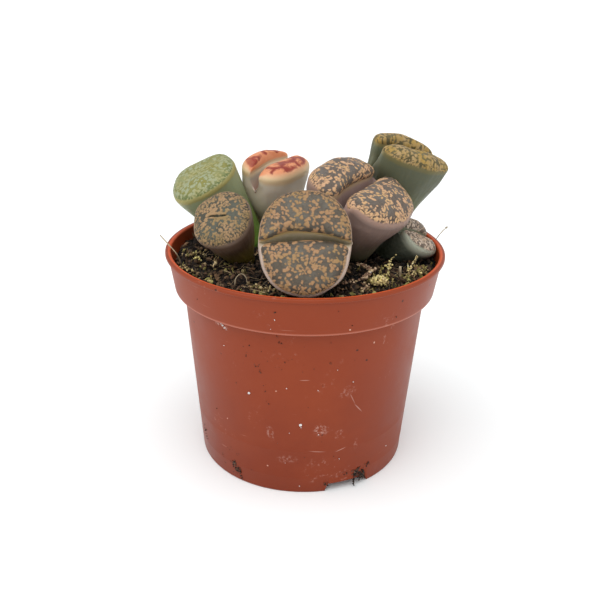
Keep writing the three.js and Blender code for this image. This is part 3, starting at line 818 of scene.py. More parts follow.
def strand(points, radii, sides):
    """Points and faces of a thin closed strand along a line of points."""
    askew = [0.31, 0.87, 0.38]
    points = np.asarray(points, float)
    ways = np.gradient(points, axis=0)
    ways /= np.linalg.norm(ways, axis=1)[:, None]
    side = np.cross(ways, askew)
    side /= np.linalg.norm(side, axis=1)[:, None]
    other = np.cross(ways, side)
    skin = []
    for k, (centre, radius) in enumerate(zip(points, radii)):
        for i in range(sides):
            turn = math.tau * i / sides
            skin.append(centre + radius * (math.cos(turn) * side[k] + math.sin(turn) * other[k]))
    faces = [
        (k * sides + i, k * sides + (i + 1) % sides, (k + 1) * sides + (i + 1) % sides,
         (k + 1) * sides + i)
        for k in range(len(points) - 1) for i in range(sides)
    ]
    last = (len(points) - 1) * sides
    faces += [tuple(reversed(range(sides))), tuple(range(last, last + sides))]
    return np.array(skin), faces


def thread_shape(name, seed, length, thick, curl):
    draw = np.random.default_rng(seed)
    t = np.linspace(0, 1, 9)
    phase = draw.uniform(0, math.tau, 3)
    path = np.column_stack([
        length * (t - 0.5),
        curl * np.sin(math.tau * t * draw.uniform(0.5, 1.1) + phase[0]),
        0.35 * curl * np.sin(math.tau * t + phase[1]) + 0.25 * curl,
    ])
    skin, faces = strand(path, thick * (1 - 0.6 * t), 3)
    return mesh_of(name, skin, faces)


def thread_matter():
    material = surface("dry_fibres", Specular_IOR_Level=0.3)
    tree = material.node_tree
    pale = fade(tree, number(tree, "pale"), 0.2, 0.8, 0.6, 1.0)
    tint = calc(tree, "MULTIPLY", number(tree, "tint"), pale)
    colour = blend(tree, fade(tree, tint, 0.0, 1.0), paint(52, 38, 26), paint(206, 180, 138))
    stain = fade(tree, speckle(tree, object_place(tree), 900, 2), 0.4, 0.7, 0, 0.5)
    colour = blend(tree, stain, colour, paint(70, 50, 34))
    return dressed(material, colour, fade(tree, tint, 0.0, 1.0, 0.8, 0.55))


threads = [
    thread_shape("thread_a", 21, 3.4, 0.07, 0.5),
    thread_shape("thread_b", 22, 2.4, 0.055, 0.8),
    thread_shape("thread_c", 23, 5.0, 0.08, 0.7),
    thread_shape("thread_d", 24, 1.8, 0.06, 0.4),
]
scatter(
    "fibres", peat, threads, "clear", thread_matter(), "soil",
    Per_square_metre=3.2e5, Smallest=0.35, Largest=1.1, Lift=0.0003, Tilt=0.35, Seed=31)

# ---------------------------------------------------------------------------------------------
# Moss: short yellow-green sprigs that came up by themselves, thickest in the damp soil along
# the front right of the rim and a few round the rest of it.
# ---------------------------------------------------------------------------------------------
MOSS_PATCHES = [  # x, y, reach, share
    (15.0, -14.5, 7.0, 1.0), (22.0, -6.5, 5.0, 0.8), (-19.0, -14.0, 5.0, 0.35),
    (-23.5, -4.0, 4.0, 0.35), (-9.0, -21.5, 6.0, 0.25), (4.0, 22.5, 6.0, 0.6),
    (-19.0, 17.0, 5.0, 0.5), (24.0, 6.0, 4.0, 0.3),
]
MOSS_ELSEWHERE = 0.06
LEAF_FACES = [(0, 3, 2, 1), (0, 1, 4), (1, 2, 4), (2, 3, 4), (3, 0, 4)]


def sprig_shape(name, seed, tall, leaves):
    """A stem with small pointed leaves set round it in a spiral, closest at the tip."""
    draw = np.random.default_rng(seed)
    lean = draw.uniform(-0.25, 0.25, 2)

    def stem(t):
        return np.array([lean[0] * t * t * tall, lean[1] * t * t * tall, tall * t])

    skin, faces = strand([stem(t) for t in (0.0, 0.35, 0.7, 1.0)], [0.07, 0.06, 0.05, 0.03], 3)
    points = list(skin)
    for i in range(leaves):
        t = 0.2 + 0.8 * ((i + 0.5) / leaves) ** 0.8
        turn = i * 2.4 + draw.uniform(-0.3, 0.3)
        root = stem(t)
        out = np.array([math.cos(turn), math.sin(turn), 0.0])
        across = np.array([-math.sin(turn), math.cos(turn), 0.0])
        reach = 0.52 * (1.15 - 0.5 * t)
        rise = 0.35 + 0.9 * t
        tip = root + reach * (out + rise * np.array([0, 0, 1.0])) / math.hypot(1, rise)
        middle = (root + tip) / 2 + [0, 0, -0.05]
        faces += [tuple(len(points) + k for k in face) for face in LEAF_FACES]
        points += [
            root, middle + 0.12 * across, tip, middle - 0.12 * across, middle + [0, 0, 0.07]]
    return mesh_of(name, points, faces, smooth=False)


def moss_matter():
    material = surface("moss", Specular_IOR_Level=0.35)
    tree = material.node_tree
    place = object_place(tree)
    height = put(tree, "ShaderNodeSeparateXYZ", {"Vector": place}).outputs[2]
    tint = number(tree, "tint")
    young = blend(tree, fade(tree, tint, 0.1, 0.8), paint(122, 112, 54), paint(206, 184, 116))
    old = blend(tree, fade(tree, tint, 0.0, 1.0), paint(62, 58, 26), paint(110, 92, 48))
    ragged = calc(tree, "MULTIPLY", speckle(tree, place, 700, 2), 1 * MM)
    up = calc(tree, "ADD", height, ragged)
    up = fade(tree, up, (SOIL_LEVEL + 0.7) * MM, (SOIL_LEVEL + 2.2) * MM)
    rough = fade(tree, speckle(tree, place, 2000, 2), 0.3, 0.7, 0.45, 0.7)
    return dressed(material, blend(tree, up, old, young), rough)


def moss_mask():
    """Writes on the peat how much moss grows at each of its points."""
    spots = np.array([v.co[:] for v in peat.data.vertices])[:, :2] / MM
    room = np.zeros(len(spots), np.float32)
    peat.data.attributes["room"].data.foreach_get("value", room)
    share = np.full(len(spots), MOSS_ELSEWHERE)
    for x, y, reach, most in MOSS_PATCHES:
        share = np.maximum(share, most * ease(np.hypot(*(spots - [x, y]).T), reach, reach * 0.3))
    share = share * ease(waves(spots, 2.6, 61), -0.3, 0.7)
    peat.data.attributes.new("mossy", "FLOAT", "POINT").data.foreach_set(
        "value", (share * room).astype(np.float32))


moss_mask()
sprigs = [
    sprig_shape("sprig_a", 31, 1.5, 10), sprig_shape("sprig_b", 32, 1.1, 8),
    sprig_shape("sprig_c", 33, 1.9, 11),
]
scatter(
    "moss", peat, sprigs, "mossy", moss_matter(), "soil",
    Per_square_metre=1.5e6, Smallest=0.35, Largest=0.95, Lift=0.0, Tilt=0.6, Seed=41)

# ---------------------------------------------------------------------------------------------
# Litter: shreds of dead moss, yellow sprigs, a cushion of pale moss and soil that clings to a
# plant's foot, which fell on the soil or came up in it, and pale grains stuck to the edge of the
# front plant. Every one is a cluster of small rounded grains.
# ---------------------------------------------------------------------------------------------
SHREDS = [  # path over the soil, grains per millimetre, size, spread, tint, yellow
    ([(10.2, -6.6, 42.6), (11.2, -8.6, 42.9), (12.3, -11.2, 43.1), (11.2, -13.4, 42.7),
      (8.6, -15.2, 42.4), (5.2, -16.6, 42.2)], 9, 0.42, 0.34, 0.66, 0.0),
    ([(13.3, -10.2, 43.0), (12.2, -11.6, 42.9), (10.8, -13.6, 42.8)], 9, 0.44, 0.3, 0.74, 0.0),
    ([(10.5, -15.6, 42.3), (11.4, -17.4, 42.3), (10.2, -18.6, 42.2)], 8, 0.4, 0.4, 0.7, 0.1),
    ([(15.3, -12.2, 42.2), (15.6, -11.4, 43.6), (15.8, -10.9, 44.8)], 10, 0.34, 0.26, 0.8, 0.75),
    ([(15.8, -10.9, 44.9), (16.4, -10.2, 45.3), (17.0, -9.6, 45.8)], 7, 0.22, 0.1, 0.8, 0.7),
    ([(15.0, -11.2, 44.0), (15.7, -11.0, 44.3), (16.4, -10.8, 44.1)], 9, 0.34, 0.2, 0.85, 0.7),
    ([(19.0, -12.0, 42.0), (19.6, -11.0, 43.4), (20.4, -10.2, 44.6), (21.0, -9.6, 45.5)],
     9, 0.3, 0.24, 0.8, 0.6),
    ([(19.3, -11.0, 43.2), (19.1, -10.6, 44.4)], 9, 0.32, 0.2, 0.82, 0.65),
    ([(18.6, -12.6, 42.2), (20.2, -11.8, 42.6), (22.0, -10.0, 42.6), (23.4, -8.6, 42.5)],
     9, 0.36, 0.6, 0.62, 0.6),
    ([(-21.6, -5.2, 42.4), (-20.6, -4.8, 42.5), (-20.2, -5.6, 42.3)], 8, 0.42, 0.22, 0.72, 0.9),
    ([(-23.4, -3.4, 42.2), (-21.8, -2.0, 42.3), (-20.2, -1.2, 42.2)], 8, 0.4, 0.5, 0.6, 0.45),
    ([(-23.4, -8.4, 42.1), (-22.0, -9.8, 42.2), (-20.6, -11.4, 42.1)], 8, 0.4, 0.4, 0.6, 0.5),
    ([(-17.6, -9.0, 42.5), (-16.9, -7.6, 42.6), (-17.2, -6.2, 42.6)], 7, 0.4, 0.24, 0.82, 0.35),
    ([(-13.4, -4.6, 42.2), (-11.2, -4.2, 42.6), (-9.5, -2.6, 43.0), (-8.8, -0.9, 43.6)],
     7, 0.42, 0.34, 0.5, 0.0),
    ([(-9.9, -17.8, 42.2), (-8.2, -18.6, 42.3), (-6.4, -19.2, 42.2), (-4.4, -19.6, 42.1)],
     8, 0.38, 0.5, 0.72, 0.4),
]
CUSHION = (13.6, -15.2, 42.2)
CUSHION_REACH = 1.7
CUSHION_GRAINS = 210
RIM_GRAINS = [  # pale grains stuck along the lower edge of the front plant
    (-2.6, -22.95, 43.4), (-1.8, -23.2, 43.25), (-1.0, -23.35, 43.2), (-0.2, -23.4, 43.15),
    (0.4, -23.4, 43.2), (1.3, -23.35, 43.3), (2.0, -23.2, 43.45),
]


def smooth_path(corners, steps=8):
    """A smooth line through the corners, with steps points between each two."""
    corners = [np.array(c, float) for c in corners]
    line = [2 * corners[0] - corners[1], *corners, 2 * corners[-1] - corners[-2]]
    points = []
    for a, b, c, d in zip(line, line[1:], line[2:], line[3:]):
        for k in range(steps):
            t = k / steps
            points.append(0.5 * (
                2 * b + (c - a) * t + (2 * a - 5 * b + 4 * c - d) * t * t
                + (3 * b - a - 3 * c + d) * t ** 3))
    return np.array(points + [corners[-1]])


def unit(v):
    return v / np.linalg.norm(v, axis=-1, keepdims=True)


def grain_cluster(name, spots, sizes, tints, yellows, seed):
    """One mesh of a small ten-sided grain at each spot, each turned and stretched its own way."""
    draw = np.random.default_rng(seed)
    angle = np.arange(5) * math.tau / 5
    ball = [(0, 0, -0.5)]
    ball += [(0.46 * math.cos(a), 0.46 * math.sin(a), -0.2) for a in angle]
    ball += [(0.46 * math.cos(a + 0.63), 0.46 * math.sin(a + 0.63), 0.2) for a in angle]
    ball = np.array([*ball, (0, 0, 0.5)])
    sides = [(0, 1 + (i + 1) % 5, 1 + i) for i in range(5)]
    sides += [(1 + i, 1 + (i + 1) % 5, 6 + i) for i in range(5)]
    sides += [(1 + (i + 1) % 5, 6 + (i + 1) % 5, 6 + i) for i in range(5)]
    sides += [(6 + i, 6 + (i + 1) % 5, 11) for i in range(5)]
    points, faces = [], []
    for spot, size in zip(spots, sizes):
        turn, _ = np.linalg.qr(draw.normal(size=(3, 3)))
        turn = turn * np.sign(np.linalg.det(turn))
        grain = ball * size * draw.uniform(0.45, 1.4, 3) * draw.uniform(0.8, 1.2, (12, 1))
        faces += [tuple(len(points) * 12 + k for k in side) for side in sides]
        points.append(grain @ turn.T + spot)
    numbers = {"tint": np.repeat(tints, 12), "yellow": np.repeat(yellows, 12)}
    return mesh_of(name, np.concatenate(points), faces, numbers)


def litter_matter():
    material = surface("loose_bits", Specular_IOR_Level=0.3)
    tree = material.node_tree
    tint, yellow = number(tree, "tint"), number(tree, "yellow")
    brown = blend(tree, fade(tree, tint, 0.0, 0.6), paint(32, 20, 14), paint(138, 104, 84))
    brown = blend(tree, fade(tree, tint, 0.6, 1.0), brown, paint(230, 200, 164))
    brown = blend(tree, fade(tree, tint, 1.05, 1.25), brown, paint(226, 226, 224))
    mossy = blend(tree, fade(tree, tint, 0.2, 0.9), paint(98, 88, 40), paint(232, 218, 142))
    colour = blend(tree, yellow, brown, mossy)
    grain = speckle(tree, object_place(tree), 2400, 3, 0.6)
    colour = blend(tree, fade(tree, grain, 0.5, 0.75, 0, 0.5), colour, paint(60, 44, 30))
    return dressed(material, colour, fade(tree, grain, 0.3, 0.7, 0.8, 0.55))


draw = np.random.default_rng(77)
spots, sizes, tints, yellows = [], [], [], []
for corners, per_mm, size, spread, tint, yellow in SHREDS:
    path = smooth_path(corners, 24)
    reach = float(np.linalg.norm(np.diff(path, axis=0), axis=1).sum())
    for _ in range(round(per_mm * reach)):
        at = path[draw.integers(len(path))] + draw.normal(size=3) * spread * [0.55, 0.55, 0.4]
        spots.append(at)
        sizes.append(size * draw.uniform(0.6, 1.35))
        tints.append(tint + draw.normal() * 0.22)
        yellows.append(np.clip(yellow + draw.normal() * 0.12, 0, 1))
for _ in range(CUSHION_GRAINS):
    way = unit(draw.normal(size=3) * [1, 1, 0.8])
    way[2] = abs(way[2])
    spots.append(np.array(CUSHION) + way * CUSHION_REACH * [1, 0.9, 0.75] * draw.uniform(0.7, 1))
    sizes.append(draw.uniform(0.28, 0.52))
    tints.append(0.4 + 0.75 * way[2] + draw.normal() * 0.12)
    yellows.append(0.6 + draw.normal() * 0.15)
for spot in RIM_GRAINS:
    for _ in range(2):
        spots.append(np.array(spot) + draw.normal(size=3) * 0.14)
        sizes.append(draw.uniform(0.14, 0.3))
        tints.append(1.3)
        yellows.append(0.0)
litter = grain_cluster("litter", spots, sizes, tints, yellows, 78)
loose_material = litter_matter()
litter.data.materials.append(loose_material)
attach(litter, "root")

# ---------------------------------------------------------------------------------------------
# Dirt: wet soil that splashed on the outside of the pot and dried there, thickest by the foot
# and by the notch, with a few dots of chalk. It only sticks to the wall, but for a bit of soil
# that hangs in the notch.
# ---------------------------------------------------------------------------------------------
SPLASHES = [  # degrees round the wall from the front, height, how many grains, reach, grain size
    (-10.6, 40.9, 2, 0.15, 0.34), (39.0, 37.8, 1, 0, 0.42), (18.7, 38.0, 1, 0, 0.26),
    (-46.7, 39.5, 1, 0, 0.24), (-10.8, 34.9, 3, 0.3, 0.2), (-9.9, 33.7, 6, 0.35, 0.24),
    (-37, 34.8, 6, 0.7, 0.16), (-23.9, 32.3, 1, 0, 0.24), (-18.3, 31.5, 1, 0, 0.26),
    (-26.8, 30.2, 4, 0.9, 0.2), (-20.8, 28.3, 6, 0.6, 0.24), (-19.1, 27.2, 4, 0.3, 0.24),
    (-7.8, 29.9, 1, 0, 0.28), (-9.9, 28.5, 2, 0.3, 0.16), (11.5, 29.6, 4, 0.5, 0.2),
    (0, 28, 1, 0, 0.2), (-29.2, 24.4, 1, 0, 0.2), (-32.2, 23.3, 1, 0, 0.24),
    (-16.8, 24.6, 2, 0.5, 0.2), (-16.9, 23.0, 3, 0.3, 0.24), (-15.6, 20.4, 1, 0, 0.26),
    (-47.7, 15, 1, 0, 0.26), (9.1, 24.9, 1, 0, 0.18), (2.2, 19.8, 2, 0.6, 0.16),
    (-11.7, 11.6, 1, 0, 0.2), (-65.5, 6.2, 8, 0.9, 0.24), (-64.3, 4.6, 6, 0.4, 0.26),
    (-37.8, 3.7, 40, 0.75, 0.34), (-35.2, 2.3, 44, 0.75, 0.34), (-46.8, 4.3, 3, 0.4, 0.2),
    (-45, 2.4, 3, 0.3, 0.26), (-34.3, 6.0, 4, 0.5, 0.2), (-33.2, 0.7, 4, 0.4, 0.24),
    (-26.7, 3.6, 2, 0.3, 0.2), (-40, 6.5, 5, 1.2, 0.14), (13.2, 1.9, 16, 0.45, 0.28),
    (30, 3.2, 50, 0.8, 0.38), (34.0, 2.1, 60, 0.9, 0.38), (37.6, 4.3, 12, 0.4, 0.3),
    (24, 3.5, 6, 0.7, 0.22), (1.7, 8.7, 1, 0, 0.2), (-15, 34, 6, 5, 0.13), (-22, 27, 16, 6, 0.13),
    (5, 30, 10, 6, 0.12), (-20, 18, 8, 6, 0.12), (20, 33, 6, 5, 0.12), (-5, 5, 8, 5, 0.14),
    (25, 6, 8, 3, 0.14), (140, 4, 30, 4, 0.3), (200, 3, 24, 3, 0.28), (250, 12, 16, 6, 0.16),
    (100, 20, 16, 8, 0.15), (170, 30, 12, 8, 0.16),
]
CHALK_DOTS = [  # degrees round the wall, height, size
    (-37.9, 30.6, 0.3), (-25.4, 21.9, 0.44), (-0.5, 16.3, 0.46), (-0.3, 15.7, 0.3),
    (-7.1, 24.3, 0.26), (7.1, 24.0, 0.22), (-10.9, 39.3, 0.22), (-12.6, 37.3, 0.2),
    (-5.8, 14.3, 0.18), (8.2, 14.0, 0.28), (-7.9, 7.1, 0.22), (51.5, 6.1, 0.3), (-0.5, 1.6, 0.24),
    (19.7, 7.6, 0.22), (-37.4, 34.9, 0.36), (-36.6, 34.5, 0.34), (-38.4, 35.1, 0.3),
    (-35.6, 34.2, 0.26), (23.6, 25.0, 0.26), (15.5, 28.1, 0.24),
]
NOTCH_BIT = [(10.6, -18.4, 2.3), (10.4, -18.9, 1.4), (10.6, -19.2, 0.5)]


def on_wall(degrees, height):
    """A place on the outside of the pot, and the way out from it."""
    turn = math.radians(degrees)
    out = np.array([math.sin(turn), -math.cos(turn), 0.0])
    radius = band_radius(height) if height > BAND_BOTTOM else wall_radius(height)
    return np.array([*(out[:2] * radius), height]), out


draw = np.random.default_rng(88)
spots, sizes, tints = [], [], []
for degrees, height, count, reach, size in SPLASHES:
    for _ in range(count):
        up = np.clip(height + draw.normal() * reach * 0.6, 0.15, 42.5)
        around = degrees + math.degrees(draw.normal() * reach * 0.6 / MIDDLE_RADIUS)
        spot, out = on_wall(around, up)
        grain = size * draw.uniform(0.5, 1.2)
        spots.append(spot + out * grain * 0.15)
        sizes.append(grain)
        tints.append(draw.uniform(-0.1, 0.3))
for degrees, height, size in CHALK_DOTS:
    spot, out = on_wall(degrees, height)
    spots.append(spot + out * size * 0.05)
    sizes.append(size)
    tints.append(1.3)
for spot in smooth_path(NOTCH_BIT, 9):
    spots.append(spot + draw.normal(size=3) * 0.06)
    sizes.append(draw.uniform(0.22, 0.4))
    tints.append(draw.uniform(-0.1, 0.2))
dirt = grain_cluster("dirt", spots, sizes, tints, np.zeros(len(spots)), 89)
dirt.data.materials.append(loose_material)
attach(dirt, "root")

# ---------------------------------------------------------------------------------------------
# Straws: a dry grass stalk that leans over the left side of the lip, a broken stub near the
# right front, a hair-thin seed stalk with its head by the right side, and a curled thread at the
# left front. All of them stand in the soil.
# ---------------------------------------------------------------------------------------------
LEANING_STRAW = [
    (-23.9, -4.3, 39.6), (-24.4, -4.7, 42.0), (-24.99, -5.19, 43.6), (-26.51, -4.6, 45.15),
    (-28.03, -4.0, 46.69),
]
STUB = [(17.9, -11.2, 39.8), (17.8, -11.2, 41.8), (17.7, -11.1, 43.9)]
SEED_STALK = [
    (26.0, 4.9, 40.5), (25.95, 4.75, 42.4), (26.6, 4.65, 43.9), (27.5, 4.4, 45.5),
    (28.3, 4.1, 46.6),
]
SEED_HEAD = [SEED_STALK[-1], (28.6, 4.0, 46.9)]
CURL = [
    (-12.6, -16.4, 41.4), (-12.4, -16.3, 42.9), (-11.5, -16.2, 43.8), (-10.6, -16.2, 43.2),
    (-10.3, -16.3, 41.6),
]
STRAWS = [  # path, radius at its start, radius at its end, sides
    (LEANING_STRAW, 0.15, 0.1, 8), (STUB, 0.26, 0.24, 10), (SEED_STALK, 0.1, 0.08, 6),
    (SEED_HEAD, 0.26, 0.12, 6), (CURL, 0.11, 0.07, 6),
]


def straw_matter():
    material = surface("dry_straw", Specular_IOR_Level=0.4)
    tree = material.node_tree
    streak = put(tree, "ShaderNodeMapping", {
        "Vector": object_place(tree), "Scale": (0.3, 1, 0.3)}).outputs[0]
    grain = speckle(tree, streak, 1800, 3, 0.6)
    colour = blend(tree, fade(tree, grain, 0.35, 0.65), paint(112, 94, 72), paint(192, 174, 144))
    rough = fade(tree, grain, 0.3, 0.7, 0.75, 0.5)
    return dressed(material, colour, rough, raised(tree, grain, 0.6, 0.1 * MM))


def straw_skin(corners, first, last, sides, phase):
    """A strand along the path, a little thicker and thinner as it goes."""
    path = smooth_path(corners)
    t = np.linspace(0, 1, len(path))
    radii = (first + (last - first) * t) * (1 + 0.12 * np.sin(9 * t + phase))
    return strand(path, radii, sides)


points, faces = [], []
for straw in STRAWS:
    skin, quads = straw_skin(*straw, phase=len(points))
    faces += [tuple(len(points) + i for i in face) for face in quads]
    points += skin.tolist()
straws = mesh_of("straws", points, faces)
straws.data.materials.append(straw_matter())
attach(straws, "root")

# ---------------------------------------------------------------------------------------------
# Plants: seven stone plants, each one body of two fat leaves grown together and rooted in the
# peat, split across the top by a fissure or still closed. Raised islands lie over dark clear
# windows on their tops, and their sides are smooth waxy skin full of water.
# ---------------------------------------------------------------------------------------------
ROOT_DEPTH = 7.0
NECK_HEIGHT = 40.5
NECK_FLATTENING = 0.9
FISSURE_SQUARENESS = 3
ROUND_STEPS = 150
SEAM_STEPS = 96
SIDE_ROWS = 56
LOBE_ROWS = 34
CAP_ROWS = 58
LEAF_OFFSET = 40  # added round the rim of the near leaf, so that the leaves' patterns differ
ISLAND_HEIGHT = 0.05
UNEVENNESS = 0.10
FURROW_DEPTH = 0.007

# Sizes are millimetres and directions degrees. Where each leaf has its own value, the far leaf's
# comes first.
# top is the middle of the top, which leans by tilt towards azimuth. half is its half length
# along the fissure, far and near the half widths to its two sides. bulge says how early the
# body swells, and straight how long it runs straight under the top. pillow is the height of the
# dome, and flatness and square how blunt its section and its outline are. cleft and ends are
# the fissure's depth in its middle and at its ends, gap how far each leaf stands off its line,
# arch how far that line bows, and taper the part of the gap that is lost at the ends. corner is
# how far the round of a leaf stops short of the line. band is where the pale margin gives way
# to the mottling, margin what each leaf has more of it, and soft how soft the islands' edges are.
# In a pattern, spot is the spacing of the spots in the middle, share the part of them that is
# there, open how much that varies, and seam their share by the fissure. cell is the width of the
# long islands at the rim, line half the dark line between them, reach how far in they are whole
# and how far in they end, and stretch how much longer than wide they are. veins are the spacing
# and the half widths of the broad lines and of the twigs.
# In colours, clear is the paler patch in a window, a painted reflection of the soft lights.
PLANTS = [
    dict(
        name="lithops_front", bulge=0.35, taper=1.0,
        top=(0, -19.3, 51.1), azimuth=-92, tilt=60, fissure=1,
        half=8.2, far=9.1, near=9.5, straight=7,
        cleft=2.7, ends=0.5, gap=(1.7, 0.12), arch=0.35, corner=(0.5, 1.7),
        pillow=1.9, flatness=2.3, square=2.2,
        lobe_tilt=(3, 3), lobe_scale=(1, 0.95), seed=101,
        pattern=dict(spot=0.5, share=0.56, open=0.15, seam=0.74, cell=0.7, line=0.045,
                     reach=(0.9, 2.6), stretch=1.3),
        colours=dict(window=(86, 77, 65), clear=(97, 92, 82), island=(160, 123, 87),
                     tint=(150, 120, 78), line=(46, 38, 30), band=(190, 170, 156),
                     side=(150, 132, 120), foot=(110, 104, 80), wall=(166, 156, 128),
                     lip=(168, 140, 92), lip_near=(214, 192, 178)),
        band=(0.4, 0.95), margin=(-0.4, 0.3), soft=0.16,
    ),
    dict(
        name="lithops_right_front", bulge=0.45, taper=0.8,
        top=(10.6, -2, 55.1), azimuth=-36, tilt=24, fissure=60,
        half=9.6, far=9.7, near=10.2, straight=8,
        cleft=3.6, ends=1.5, gap=(2.3, 0.15), arch=0.1, corner=(4.4, 2.6),
        pillow=3.0, flatness=2.2, square=2.2,
        lobe_tilt=(8, 10), lobe_scale=(0.98, 1), seed=202,
        pattern=dict(spot=0.46, share=0.52, open=0.22, seam=0.84, cell=0.68, line=0.05,
                     reach=(1.6, 4.2), stretch=1.8),
        colours=dict(window=(98, 86, 76), clear=(106, 99, 92), island=(198, 158, 122),
                     tint=(198, 160, 112), line=(58, 44, 36), band=(150, 122, 108),
                     side=(132, 112, 104), foot=(92, 98, 58), wall=(156, 134, 128),
                     lip=(170, 146, 116), lip_near=(186, 156, 144)),
        band=(0.1, 0.7), margin=(0.1, 0.9), soft=0.16,
    ),
    dict(
        name="lithops_orange", bulge=0.75, taper=0.75,
        top=(-6.7, 13.3, 55.8), azimuth=-69, tilt=10, fissure=57,
        half=6.9, far=5.9, near=6.2, straight=8,
        cleft=3.8, ends=2.6, gap=(2.3, 0.12), arch=0.3, corner=(1.2, 1.6),
        pillow=2.4, flatness=2.2, square=2.3,
        lobe_tilt=(3, 3), lobe_scale=(1, 1.07), seed=303,
        pattern=dict(veins=(2.9, 0.4, 0.03)),
        colours=dict(window=(134, 48, 36), clear=(146, 58, 42), island=(212, 138, 98),
                     tint=(222, 156, 116), line=(150, 60, 44), band=(222, 196, 156),
                     side=(218, 206, 188), foot=(208, 198, 158), wall=(180, 174, 162),
                     lip=(216, 196, 164), lip_near=(220, 198, 166)),
        band=(0.5, 2.6), margin=(0, 0), soft=1.5,
    ),
    dict(
        name="lithops_right_back", bulge=0.62, taper=0.6,
        top=(20.9, 13.1, 59.2), azimuth=-15, tilt=21, fissure=18,
        half=8, far=6.8, near=6.8, straight=9,
        cleft=7.0, ends=6.0, gap=(2.2, 1.2), arch=0.3, corner=(2.0, 2.8),
        pillow=2.3, flatness=2.3, square=2.1,
        lobe_tilt=(2, 6), lobe_scale=(0.9, 1), seed=404,
        pattern=dict(spot=0.56, share=0.9, open=0.14, seam=0.95, cell=0.66, line=0.05,
                     reach=(0.6, 2.6), stretch=1.6),
        colours=dict(window=(88, 78, 44), clear=(104, 96, 62), island=(166, 140, 96),
                     tint=(160, 130, 62), line=(74, 66, 38), band=(106, 100, 64),
                     side=(88, 92, 72), foot=(112, 118, 50), wall=(112, 118, 96),
                     lip=(138, 126, 82), lip_near=(140, 126, 80)),
        band=(0.1, 0.8), margin=(0, 0), soft=0.22,
    ),
    dict(
        name="lithops_right_small", bulge=0.35, taper=0.75,
        top=(21.75, 1, 45.9), azimuth=-23, tilt=42, fissure=19,
        half=4.8, far=3.7, near=5.1, straight=4,
        cleft=2.0, ends=0.8, gap=(0.7, 0.15), arch=0.2, corner=(1.3, 1.3),
        pillow=1.6, flatness=2.3, square=2.2,
        lobe_tilt=(2, 2), lobe_scale=(0.87, 1), seed=505,
        pattern=dict(spot=0.3, share=0.66, open=0.1, seam=0.7, cell=0.36, line=0.02,
                     reach=(0.4, 1.2), stretch=1.3),
        colours=dict(window=(98, 82, 68), clear=(122, 112, 100), island=(196, 178, 160),
                     tint=(186, 158, 132), line=(76, 62, 50), band=(158, 161, 144),
                     side=(88, 94, 82), foot=(58, 64, 46), wall=(126, 130, 114),
                     lip=(148, 150, 128), lip_near=(156, 160, 140)),
        band=(0.9, 1.6), margin=(0.3, 0.1), soft=0.2,
    ),
    dict(
        name="lithops_green", bulge=0.45,
        top=(-20.7, 8.2, 54.5), azimuth=-147, tilt=31, fissure=20,
        half=7.05, far=7.2, near=7, straight=8,
        pillow=2.1, flatness=2.5, square=2.2, seed=606,
        pattern=dict(spot=0.6, share=0.93, open=0.12, seam=0.8, cell=0.62, line=0.07,
                     reach=(0.7, 2.0), stretch=1.9),
        colours=dict(window=(130, 126, 62), clear=(136, 138, 90), island=(148, 154, 122),
                     tint=(152, 148, 98), line=(74, 94, 48), band=(158, 150, 92),
                     side=(144, 154, 120), foot=(88, 122, 40), wall=(144, 154, 120),
                     lip=(162, 156, 100), lip_near=(162, 156, 100)),
        band=(0.5, 1.0), margin=(0, 0), soft=0.25,
    ),
    dict(
        name="lithops_left_small", bulge=0.7,
        top=(-15.6, -7, 50.6), azimuth=-114, tilt=43, fissure=0,
        half=5.75, far=6.2, near=5.7, straight=4,
        pillow=2, flatness=2.4, square=2.2, seed=707,
        slit=dict(along=-0.25, across=0.1, turn=2, length=3.3, width=0.26, depth=0.4,
                  lip_out=0.46, lip_width=0.26, lip_height=0.2),
        pattern=dict(spot=0.46, share=0.7, open=0.15, seam=0.7, cell=0.6, line=0.045,
                     reach=(1.2, 4.0), stretch=1.25),
        colours=dict(window=(70, 68, 56), clear=(82, 84, 72), island=(156, 126, 90),
                     tint=(142, 118, 78), line=(42, 38, 30), band=(132, 112, 98),
                     side=(120, 96, 80), foot=(122, 108, 20), wall=(104, 90, 70),
                     lip=(176, 148, 108), lip_near=(176, 148, 108)),
        band=(0.2, 1.0), margin=(0, 0), soft=0.18,
    ),
]


def stem_of(plant):
    """The stem line: up from the neck, then straight into the top along its normal."""
    a, t = math.radians(plant["azimuth"]), math.radians(plant["tilt"])
    up = np.array([math.sin(t) * math.cos(a), math.sin(t) * math.sin(a), math.cos(t)])
    f = math.radians(plant["fissure"])
    along = np.array([math.cos(f), math.sin(f), 0.0])
    along = unit(along - (along @ up) * up)
    end = np.array(plant["top"], float)
    x, y, _ = NECKS[plant["name"]]
    start = np.array([x, y, NECK_HEIGHT], float)
    bend = end - up * plant["straight"]

    def place(s, x, y, z):
        s, x, y, z = (np.asarray(v, float)[..., None] for v in (s, x, y, z))
        point = (1 - s) ** 2 * start + 2 * s * (1 - s) * bend + s ** 2 * end
        way = unit((1 - s) * (bend - start) + s * (end - bend))
        f_way = unit(along - (way @ along)[..., None] * way)
        return point + f_way * x + np.cross(way, f_way) * y + way * z

    return place, start, float(np.linalg.norm(end - start))


def power(value, exponent):
    """The value to a power, with its sign kept."""
    return np.sign(value) * np.abs(value) ** exponent


def girth(plant, s):
    """Half length and the two half widths of the body at fraction s of the stem."""
    swell = s * (1 + plant["bulge"] * (1 - s))
    neck = NECKS[plant["name"]][2]
    thin = neck * NECK_FLATTENING
    return (
        neck + (plant["half"] - neck) * swell,
        thin + (plant["far"] - thin) * swell, thin + (plant["near"] - thin) * swell)


